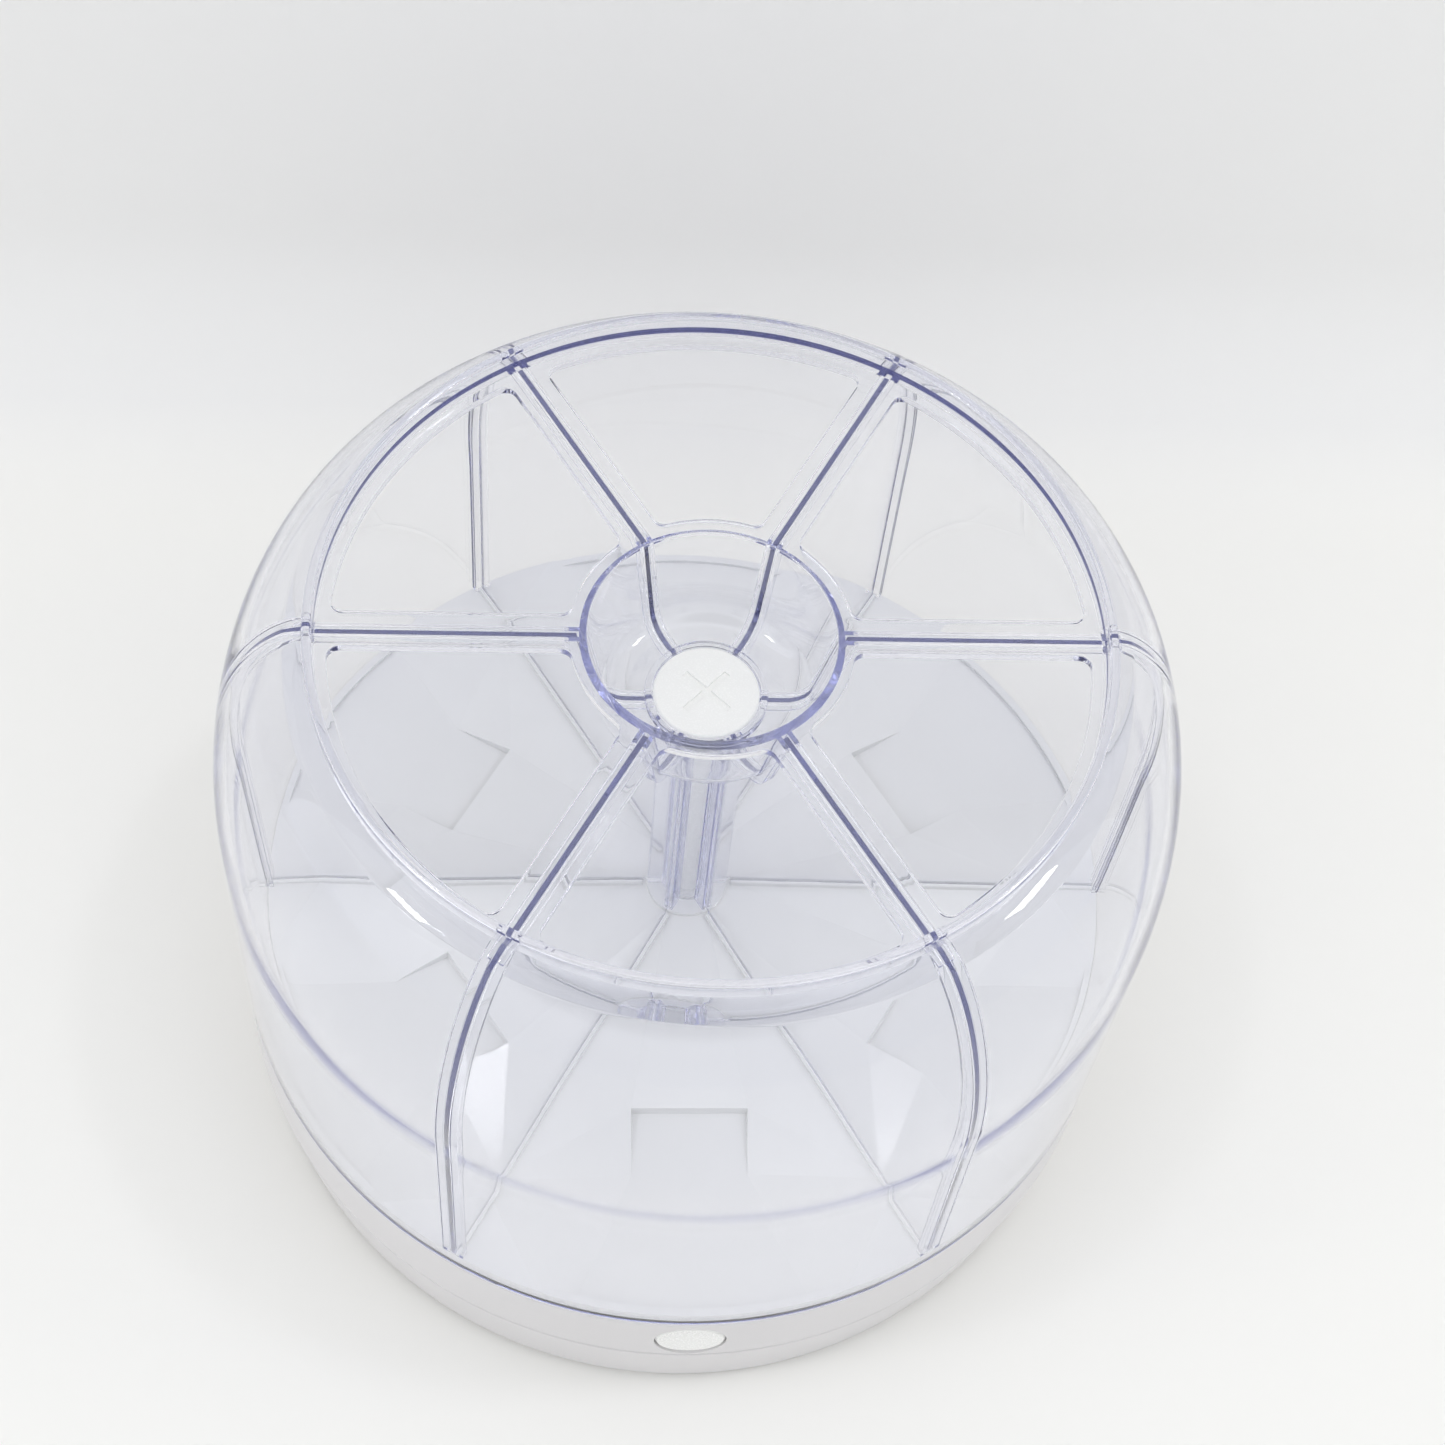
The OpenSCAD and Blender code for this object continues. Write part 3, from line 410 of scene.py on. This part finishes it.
def turned_steel(name, colour, roughness):
    """Bright turned steel with fine streaks."""
    nodes = new_nodes(name)
    stretched = nodes.add("Mapping", None, Vector=nodes.place(), Scale=STREAK_SCALE)
    streak = nodes.add("TexNoise", None, Vector=stretched, Scale=1.0, Detail=3.0)
    gloss = nodes.fit(streak, *NOISE_SPREAD, roughness - STREAK_GLOSS, roughness + STREAK_GLOSS)
    return nodes.show(nodes.principled(
        Base_Color=opaque(colour), Metallic=1.0, Roughness=gloss,
        Normal=nodes.bump(streak, STREAK_DEPTH)))


def rubber(name, colour):
    """Dull rubber with a soft grain."""
    nodes = new_nodes(name)
    grain = nodes.noise(RUBBER_SCALE, detail=4.0)
    lighter = tuple(channel * RUBBER_LIGHTER for channel in colour)
    return nodes.show(nodes.principled(
        Base_Color=nodes.blend(nodes.fit(grain, *NOISE_SPREAD), opaque(colour), opaque(lighter)),
        Roughness=nodes.fit(grain, *NOISE_SPREAD, *RUBBER_ROUGHNESS),
        Normal=nodes.bump(grain, RUBBER_DEPTH)))


CLEAR = clear_plastic("clear_plastic", tint=(0.54, 0.56, 0.79), density=24.0, ripple=0.0001,
                      passing=(0.968, 0.969, 0.974))
# The base's off-white plastic, darkened to a light grey as painted shade: it stands for the shade the
# base sits in under the drum, on its side towards the camera. The trim keeps the brighter white.
WHITE_WITH_PAINTED_SHADE = white_plastic("white_body", (0.70, 0.685, 0.69), roughness=0.38)
TRIM = white_plastic("white_trim", (0.90, 0.90, 0.88), roughness=0.26)
TRAY = white_plastic("white_tray", (0.85, 0.85, 0.845), roughness=0.20, coat=0.5)
BEARING = white_plastic("bearing_plastic", (0.72, 0.70, 0.64), roughness=0.55)
STEEL = turned_steel("turned_steel", (0.66, 0.67, 0.69), roughness=0.3)
FEET = rubber("rubber", (0.05, 0.05, 0.052))


def paint(material, *names):
    """Give solids that are shown as they are their material."""
    for name in names:
        mesh = frame["nodes"][name].data
        mesh.materials.clear()
        mesh.materials.append(material)


# ---- Drum ----
# Radii and heights in millimetres, above the table.

DRUM_R = 125.0
DRUM_Z = 54.6
DRUM_TOP = 195.0
SHELL_WALL = 2.4
SHOULDER_R = 123.2
SHOULDER_C = 92.0
SHOULDER_Z = 129.26
SHOULDER_H = 61.5
LIP_R = 96.2
LIP_WALL = 2.4
LEDGE_TOP = 188.0
LEDGE_Z = 185.8
WINDOW_R_OUT = 91.0
WINDOW_R_IN = 34.2
SPOKE_W = 10.3
WINDOW_CORNER = 3.0
WELL_R_TOP = 30.0
WELL_WALL = 1.8
WELL_FLOOR = 160.5
WELL_CORNER = 6.0
WELL_CORNER_AT = (19.8, 166.5)
WELL_TAPER = 11.05
CAP_RING_R = 15.4
CAP_RING_H = 2.2
CAP_SEAT_R = 13.6
CUP_R = 7.6
CUP_WALL = 1.8
NUT_SEAT = 153.0
CUP_BOTTOM = 151.2
STUD_HOLE_R = 3.2
EDGE = 0.45
DIVIDER_T = 1.4
GROOVE_W = 1.6
WALL_RIB_W = 2.2
SPOKE_RIB_W = 1.2
RIB_DEPTH = 2.4
RIB_FOOT = 60.4
SEAM_TURN = math.radians(0.31)
DIVIDER_GAP = 0.3
SWELL = 0.27
SWELL_LENGTH = 12.0
SWELL_STEPS = 8
SHOULDER_STEPS = 48
WINDOW_EDGE = 0.35
WINDOW_CUT = 8.0
LEVEL_SLACK = 0.01
WINDOW_SLACK = 0.5
UPRIGHT_NORMAL_Z = 0.5
RIB_EDGE = 0.25
RIB_STEPS = 30
RIB_IN_LEDGE = 1.1
RIB_UNDER_LEDGE = 0.2
WALL_RIB_END = SHOULDER_C + 2.5
SPOKE_RIB_END = SHOULDER_C + 6
RIB_IN_WALL = SHELL_WALL / 3
RIB_IN_CUP = 1.0
RIB_CORNER = 1.2
SPOKE_GROOVE_W = GROOVE_W + 0.06


def shoulder(inset, top, steps):
    """The drum's curved shoulder, drawn inwards by a distance, from its foot up to a height."""
    reach = SHOULDER_R - SHOULDER_C - inset
    height = SHOULDER_H - inset
    end = math.asin(min(1.0, (top - SHOULDER_Z) / height))
    angles = [end * step / steps for step in range(steps + 1)]
    return [(SHOULDER_C + reach * math.cos(a), SHOULDER_Z + height * math.sin(a))
            for a in angles]


def well_side(inset):
    """The well's corner, drawn outwards by a distance, from its wall to its floor."""
    return arc(WELL_CORNER_AT, WELL_CORNER + inset, -WELL_TAPER, -90, steps=12)


def wall_swell():
    """The wall's inner face under the shoulder, where the wall gets a little thicker downwards."""
    points = []
    for step in range(1, SWELL_STEPS + 1):
        down = step / SWELL_STEPS
        z = SHOULDER_Z - SWELL_LENGTH * down
        wall_r = between(z, SHOULDER_Z, DRUM_Z, SHOULDER_R, DRUM_R)
        points.append((wall_r - SHELL_WALL - SWELL * (1 - (1 - down) ** 2), z))
    return points


def drum_outline():
    """The closed outline of wall, shoulder, lip, ledge and well."""
    lip_angle = math.acos((LIP_R - SHOULDER_C) / (SHOULDER_R - SHOULDER_C))
    r = LIP_WALL / 3
    lip_in = LIP_R - LIP_WALL
    top = DRUM_TOP - r
    ring_top = WELL_FLOOR + CAP_RING_H - EDGE
    cup_r = CUP_R + CUP_WALL
    return (
        arc((DRUM_R - EDGE, DRUM_Z + EDGE), EDGE, -90, 0, steps=4)
        + shoulder(0.0, SHOULDER_Z + SHOULDER_H * math.sin(lip_angle), SHOULDER_STEPS)
        + arc((LIP_R - r, top), r, 0, 90, steps=5)
        + arc((lip_in + r, top), r, 90, 180, steps=5)
        + arc((lip_in - EDGE, LEDGE_TOP + EDGE), EDGE, 360, 270, steps=3)
        + arc((WELL_R_TOP + EDGE, LEDGE_TOP - EDGE), EDGE, 90, 180, steps=4)
        + well_side(0.0)
        + [(CAP_RING_R, WELL_FLOOR)]
        + arc((CAP_RING_R - EDGE, ring_top), EDGE, 0, 90, steps=3)
        + arc((CAP_SEAT_R + EDGE, ring_top), EDGE, 90, 180, steps=3)
        + [(CAP_SEAT_R, WELL_FLOOR), (CUP_R, WELL_FLOOR), (CUP_R, NUT_SEAT),
           (STUD_HOLE_R, NUT_SEAT), (STUD_HOLE_R, CUP_BOTTOM)]
        + arc((cup_r - EDGE, CUP_BOTTOM + EDGE), EDGE, -90, 0, steps=3)
        + [(cup_r, WELL_FLOOR - WELL_WALL)]
        + well_side(WELL_WALL)[::-1]
        + [(WELL_R_TOP + WELL_WALL, LEDGE_Z)]
        + shoulder(SHELL_WALL, LEDGE_Z, SHOULDER_STEPS)[::-1]
        + wall_swell()
        + arc((DRUM_R - SHELL_WALL + EDGE, DRUM_Z + EDGE), EDGE, 180, 270, steps=4))


def window_outline():
    """One window between the spokes at 0 and at one sector, with rounded corners."""
    half = SPOKE_W / 2
    c = WINDOW_CORNER
    middle = 180 / SECTORS
    near = math.degrees(math.asin((half + c) / (WINDOW_R_IN + c)))
    far = math.degrees(math.asin((half + c) / (WINDOW_R_OUT - c)))

    def corner(radius, angle):
        return radius * math.cos(math.radians(angle)), radius * math.sin(math.radians(angle))

    side = (arc((0, 0), WINDOW_R_IN, middle, near, steps=10)[:-1]
            + arc(corner(WINDOW_R_IN + c, near), c, near + 180, 270, steps=6)
            + arc(corner(WINDOW_R_OUT - c, far), c, -90, far, steps=6)
            + arc((0, 0), WINDOW_R_OUT, far, middle, steps=20)[1:])
    cos, sin = math.cos(math.radians(2 * middle)), math.sin(math.radians(2 * middle))
    mirrored = [(x * cos + y * sin, x * sin - y * cos) for x, y in side]
    return side + mirrored[::-1][1:-1]


def at_window(edge):
    """Whether an edge runs round a window's opening, on the ledge's top or underside."""
    heights = [vert.co.z / MM for vert in edge.verts]
    if not any(all(abs(z - face_z) < LEVEL_SLACK for z in heights)
               for face_z in (LEDGE_TOP, LEDGE_Z)):
        return False
    uprights = [abs(face.normal.z) < UPRIGHT_NORMAL_Z for face in edge.link_faces]
    middle = (edge.verts[0].co + edge.verts[1].co) / 2
    radius = math.hypot(middle.x, middle.y) / MM
    return (any(uprights) and not all(uprights)
            and WINDOW_R_IN - WINDOW_SLACK < radius < WINDOW_R_OUT + WINDOW_SLACK)


def select(piece, kind, rule):
    """Go into edit mode with only the corners or edges that follow a rule selected."""
    edit(piece)
    bpy.ops.mesh.select_mode(type=kind)
    bpy.ops.mesh.select_all(action="DESELECT")
    mesh = bmesh.from_edit_mesh(piece.data)
    for part in mesh.edges if kind == "EDGE" else mesh.verts:
        if rule(part):
            part.select_set(True)
    bmesh.update_edit_mesh(piece.data)


def groove_ribs(name, outline, width, groove=GROOVE_W):
    """Pairs of ribs that hold the dividers, one pair for each sector."""
    offset = (groove + width) / 2
    ribs = []
    for side in (-1, 1):
        rib = slab(f"{name}_rib", outline, upright, Vector((0, 1, 0)), width)
        rib.data.transform(Matrix.Translation((0, side * offset * MM, 0)))
        soften(rib, RIB_EDGE)
        ribs.append(rib)
    return around(gathered(ribs, name), name)


def wall_rib_outline():
    """The ribs on the wall and the shoulder, from the drum's foot up into the ledge."""
    root_top = LEDGE_Z + RIB_IN_LEDGE
    return (shoulder(SHELL_WALL - RIB_IN_WALL, root_top, RIB_STEPS)
            + [(WALL_RIB_END, root_top)]
            + shoulder(SHELL_WALL + RIB_DEPTH, LEDGE_Z - RIB_UNDER_LEDGE, RIB_STEPS)[::-1]
            + [(DRUM_R - SHELL_WALL - RIB_DEPTH, RIB_FOOT),
               (DRUM_R - SHELL_WALL + RIB_IN_WALL, RIB_FOOT)])


def spoke_rib_outline():
    """The ribs under the spokes, and on round the well's side and underside to the cup."""
    root_top = LEDGE_Z + RIB_IN_LEDGE
    rib_z = LEDGE_Z - RIB_DEPTH
    well_r = WELL_R_TOP + WELL_WALL + RIB_DEPTH
    under_well = WELL_FLOOR - WELL_WALL
    return ([(WELL_R_TOP + WELL_WALL / 2, root_top), (SPOKE_RIB_END, root_top),
             (SPOKE_RIB_END, rib_z), (well_r + RIB_CORNER, rib_z),
             (well_r, rib_z - RIB_CORNER)]
            + well_side(WELL_WALL + RIB_DEPTH)
            + [(CUP_R + RIB_IN_CUP, under_well - RIB_DEPTH),
               (CUP_R + RIB_IN_CUP, WELL_FLOOR - WELL_WALL / 2)]
            + well_side(WELL_WALL / 2)[::-1])


def make_drum():
    """The clear moulding: wall, shoulder, lip, spokes and well in one piece."""
    drum = turned("drum_shell_moulding", drum_outline())
    drum.data.transform(turn(SEAM_TURN))
    cutter = slab("window", window_outline(), level, Vector((0, 0, 1)), WINDOW_CUT)
    cutter.data.transform(Matrix.Translation((0, 0, (LEDGE_TOP + LEDGE_Z) / 2 * MM)))
    join_shape(drum, around(cutter, "windows"), "DIFFERENCE")
    select(drum, "EDGE", at_window)
    bpy.ops.mesh.bevel(offset=WINDOW_EDGE * MM, segments=2, affect="EDGES")
    done()
    join_shape(drum, groove_ribs("wall_ribs", wall_rib_outline(), WALL_RIB_W))
    join_shape(drum, groove_ribs("spoke_ribs", spoke_rib_outline(), SPOKE_RIB_W, SPOKE_GROOVE_W))
    smooth(drum)
    stand_for(drum, CLEAR, "drum_wall", "drum_shoulder", "spoke_frame", "centre_well")


# ---- Dividers, column and floor ----
# A fall is a depth under the hub's top.

HUB_TOP = 67.5
HUB_R = 12.5
HUB_CLEAR = 0.1
HUB_STEP_R = HUB_R + 0.5
HUB_STEP_FALL = 1
FOLD_R = 10.5
FOLD_FALL = 1.0
CREASE_R = 104.0
CREASE_FALL = 5.0
RIM_R = 122.28
RIM_FALL = 7.6
FLOOR_CLEAR = 0.2
FOOT_INSET = 0.2
LEDGE_CORNER = 0.5
WELL_CLEAR = 0.3
POCKET_END_R = 88.0
POCKET_END_REACH = (3, 5)
POCKET_MERGE = 0.8
CREASE_WIDTH = 0.8
CREASE_ANGLE = 4.0
RIDGE_FROM = HUB_R + 1.0
RIDGE_TO = RIM_R - 0.5
RIDGE_W = 1.0
RIDGE_H = 1.1
RIDGE_ROOT = 1.0
DIVIDER_EDGE = 0.2
DIVIDER_STEPS = 36
COLUMN_R = 8.0
COLUMN_WALL = 2.6
COLUMN_RIB_R = 12.0
COLUMN_RIB_ROOT_R = COLUMN_R - 1.0
COLUMN_STEPS = 96


def make_dividers():
    """Six plates, one in each pair of grooves."""
    gap = DIVIDER_GAP
    low = HUB_TOP + HUB_CLEAR
    foot_r = DRUM_R - SHELL_WALL - gap - FOOT_INSET
    foot_fall = between(foot_r, CREASE_R, RIM_R, CREASE_FALL, RIM_FALL)
    high = LEDGE_Z - gap
    cup_r = CUP_R + CUP_WALL + gap
    under_cup = CUP_BOTTOM - gap
    outline = (
        [(COLUMN_R + gap, low), (HUB_STEP_R, low), (HUB_STEP_R, HUB_TOP - HUB_STEP_FALL),
         (CREASE_R, HUB_TOP - CREASE_FALL + FLOOR_CLEAR),
         (foot_r, HUB_TOP - foot_fall + FLOOR_CLEAR)]
        + shoulder(SHELL_WALL + gap, high - LEDGE_CORNER, DIVIDER_STEPS)
        + [(LIP_R, high), (WELL_R_TOP + WELL_WALL + gap + WELL_CLEAR, high)]
        + well_side(WELL_WALL + gap)
        + [(cup_r, WELL_FLOOR - WELL_WALL - gap), (cup_r, under_cup), (COLUMN_R + gap, under_cup)])
    first = slab("divider", outline, upright, Vector((0, 1, 0)), DIVIDER_T)
    soften(first, DIVIDER_EDGE)
    smooth(first)
    for k in range(SECTORS):
        divider = copied(first, f"divider_{k + 1}_plate", turn(SECTOR_ANGLE * k))
        stand_for(divider, CLEAR, f"divider_{k + 1}")
    bpy.data.objects.remove(first)


def make_column():
    """The clear tube round the rod, with its grooves."""
    def strip(r_from, r_to):
        low, high = HUB_TOP + HUB_CLEAR, CUP_BOTTOM - HUB_CLEAR
        return [(r_from, low), (r_to, low), (r_to, high), (r_from, high)]

    column = turned("column_tube", strip(COLUMN_R - COLUMN_WALL, COLUMN_R), COLUMN_STEPS)
    rib = strip(COLUMN_RIB_ROOT_R, COLUMN_RIB_R)
    join_shape(column, groove_ribs("column_ribs", rib, SPOKE_RIB_W))
    smooth(column)
    stand_for(column, CLEAR, "divider_column")


def at_pocket_end(vert):
    """Whether a corner lies where a pocket runs out."""
    radius = math.hypot(vert.co.x, vert.co.y) / MM
    inwards, outwards = POCKET_END_REACH
    return POCKET_END_R - inwards < radius < POCKET_END_R + outwards


def make_floor():
    """The folded floor: soft creases, pockets that run out flush, and a groove for each divider."""
    floor = carried_over("floor_tray", "folded_floor")
    select(floor, "VERT", at_pocket_end)
    bpy.ops.mesh.remove_doubles(threshold=POCKET_MERGE * MM)
    done()
    soften(floor, CREASE_WIDTH, segments=3, angle=CREASE_ANGLE)
    falls = [(RIDGE_FROM, between(RIDGE_FROM, FOLD_R, CREASE_R, FOLD_FALL, CREASE_FALL)),
             (CREASE_R, CREASE_FALL),
             (RIDGE_TO, between(RIDGE_TO, CREASE_R, RIM_R, CREASE_FALL, RIM_FALL))]
    outline = ([(r, HUB_TOP - fall + RIDGE_H) for r, fall in falls]
               + [(r, HUB_TOP - fall - RIDGE_ROOT) for r, fall in falls[::-1]])
    join_shape(floor, groove_ribs("floor_ridges", outline, RIDGE_W))
    smooth(floor)
    stand_for(floor, TRAY, "floor_tray")


# ---- Base, button, cap and springs ----

CAP_EDGE = 0.12
SPRING_SMOOTH_ANGLE = 60.0


def carry_over(material, width, *nodes):
    """Pieces with the solids' own shapes, merged, softened and shaded smooth."""
    for node in nodes:
        piece = carried_over(node, f"{node}_moulding")
        if width:
            soften(piece, width)
        smooth(piece)
        stand_for(piece, material, node)


def make_springs():
    """The springs, carried over from their solids, each with a mesh of its own."""
    for node, joint, axis in (("button_spring", "button_press", 1),
                              ("lock_pin_spring", "pin_lift", 2)):
        wire = carried_over(node, f"{node}_wire")
        smooth(wire, SPRING_SMOOTH_ANGLE)
        stand_for(wire, STEEL, node)
        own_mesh(wire)


# ---- Stage and light ----
# Places and sizes in metres, lamps in watts. Behind is +Y, and the camera is on the side of -Y.

FLOOR_HALF = 3.0
SWEEP_START = 0.175
SWEEP_RADIUS = 0.07
SWEEP_STEPS = 16
SWEEP_HEIGHT = 2.5
TABLE_COLOUR = (0.92, 0.912, 0.882)
BACKDROP_COLOUR = (0.88, 0.875, 0.862)
COLOUR_CHANGE_HEIGHT = 0.014
STAGE_ROUGHNESS = 0.9
STAGE_SPECULAR = 0.1
HORIZON_LIGHT = 1.22
ZENITH_LIGHT = 1.57
ZENITH_COSINE = 0.9
BRIGHT_SIDE = (-0.4, 0.92, 0.0)
BRIGHT_SIDE_LIGHT = 1.15
DIM_SIDE_LIGHT = 0.72
OBSERVER_SIDE = (-0.072, -0.535, 0.842)
OBSERVER_SHADE = 0.12
OBSERVER_SPREAD = (0.88, 0.96)
ROOM_COLOUR = (0.96, 0.975, 1.0)
# Name, place, height of its aim on the turning axis, size and power.
LAMPS = (
    ("window", (-0.8, 0.9, 1.2), 0.1, (0.6, 0.8), 29.0),
    ("left_pane", (-1.1, -0.38, 1.23), 0.15, (0.22, 0.12), 1.6),
    ("right_pane", (1.08, -0.1, 1.25), 0.15, (0.26, 0.14), 2.0),
)


def add_stage():
    """A wide floor, and a backdrop that curves up from it behind the object.

    From behind, the backdrop is see-through.
    """
    sweep = [(-FLOOR_HALF, 0.0), (SWEEP_START, 0.0)]
    for step in range(1, SWEEP_STEPS + 1):
        angle = math.radians(90 * step / SWEEP_STEPS)
        sweep.append((SWEEP_START + SWEEP_RADIUS * math.sin(angle),
                      SWEEP_RADIUS * (1 - math.cos(angle))))
    sweep.append((SWEEP_START + SWEEP_RADIUS, SWEEP_HEIGHT))
    floor_behind = [(SWEEP_START, 0.0), (FLOOR_HALF, 0.0)]
    points, faces = [], []
    for profile in (sweep, floor_behind):
        first = len(points)
        points += [(x, y, z) for y, z in profile for x in (-FLOOR_HALF, FLOOR_HALF)]
        faces += [(k, k + 1, k + 3, k + 2) for k in range(first, len(points) - 2, 2)]
    mesh = bpy.data.meshes.new("backdrop")
    mesh.from_pydata(points, [], faces)
    mesh.shade_smooth()
    backdrop = bpy.data.objects.new("backdrop", mesh)
    bpy.context.scene.collection.objects.link(backdrop)
    nodes = new_nodes("backdrop")
    height = nodes.add("SeparateXYZ", None, nodes.place(), output="Z")
    from_behind = nodes.add("NewGeometry", output="Backfacing")
    colour = nodes.blend(nodes.fit(height, 0.0, COLOUR_CHANGE_HEIGHT),
                         opaque(TABLE_COLOUR), opaque(BACKDROP_COLOUR))
    mesh.materials.append(nodes.show(nodes.principled(
        Base_Color=colour, Roughness=STAGE_ROUGHNESS, Specular_IOR_Level=STAGE_SPECULAR,
        Alpha=1 - from_behind)))


def add_lamps():
    for name, place, aim_height, size, power in LAMPS:
        data = bpy.data.lights.new(name, "AREA")
        data.shape = "RECTANGLE"
        data.size, data.size_y = size
        data.energy = power
        lamp = bpy.data.objects.new(name, data)
        lamp.visible_camera = False
        lamp.location = place
        aim = Vector((0, 0, aim_height)) - Vector(place)
        lamp.rotation_euler = aim.to_track_quat("-Z", "Y").to_euler()
        bpy.context.scene.collection.objects.link(lamp)


def add_room():
    """Light from all round: most from above and behind, and little from where the camera stands."""
    world = bpy.data.worlds.new("room")
    bpy.context.scene.world = world
    nodes = Nodes(world, "OutputWorld")
    place = nodes.add("TexCoord", output="Generated")

    def towards(direction, *spread):
        """The strength by a direction: from cosine, to cosine, from strength, to strength."""
        facing = nodes.add("VectorMath", {"operation": "DOT_PRODUCT"}, place, direction,
                           output="Value")
        return nodes.fit(facing, *spread)

    strength = (towards((0.0, 0.0, 1.0), 0.0, ZENITH_COSINE, HORIZON_LIGHT, ZENITH_LIGHT)
                * towards(BRIGHT_SIDE, -1.0, 1.0, DIM_SIDE_LIGHT, BRIGHT_SIDE_LIGHT)
                * towards(OBSERVER_SIDE, *OBSERVER_SPREAD, 1.0, OBSERVER_SHADE))
    nodes.show(nodes.node("Background", None, Color=opaque(ROOM_COLOUR), Strength=strength))


# ---- The object ----

make_drum()
make_dividers()
make_column()
make_floor()
# The base parts take the white plastic with painted shade in its colour.
carry_over(WHITE_WITH_PAINTED_SHADE, 0.0, "base_foot", "base_housing", "turntable_plate")
carry_over(TRIM, CAP_EDGE, "centre_cap")
carry_over(TRIM, 0.0, "push_button", "tie_rod")
make_springs()
paint(BEARING, "bushing", "ball_cage")
paint(STEEL, "base_screws", "lower_race", "upper_race", "bearing_balls", "retaining_washer", "lower_nut",
      "upper_washer", "upper_nut", "lock_pin")
paint(FEET, "rubber_feet")

add_camera()
add_stage()
add_lamps()
add_room()

scene = bpy.context.scene
scene.view_settings.view_transform = "Standard"
scene.cycles.max_bounces = 128
scene.cycles.transmission_bounces = 64
scene.cycles.glossy_bounces = 128
scene.cycles.transparent_max_bounces = 48
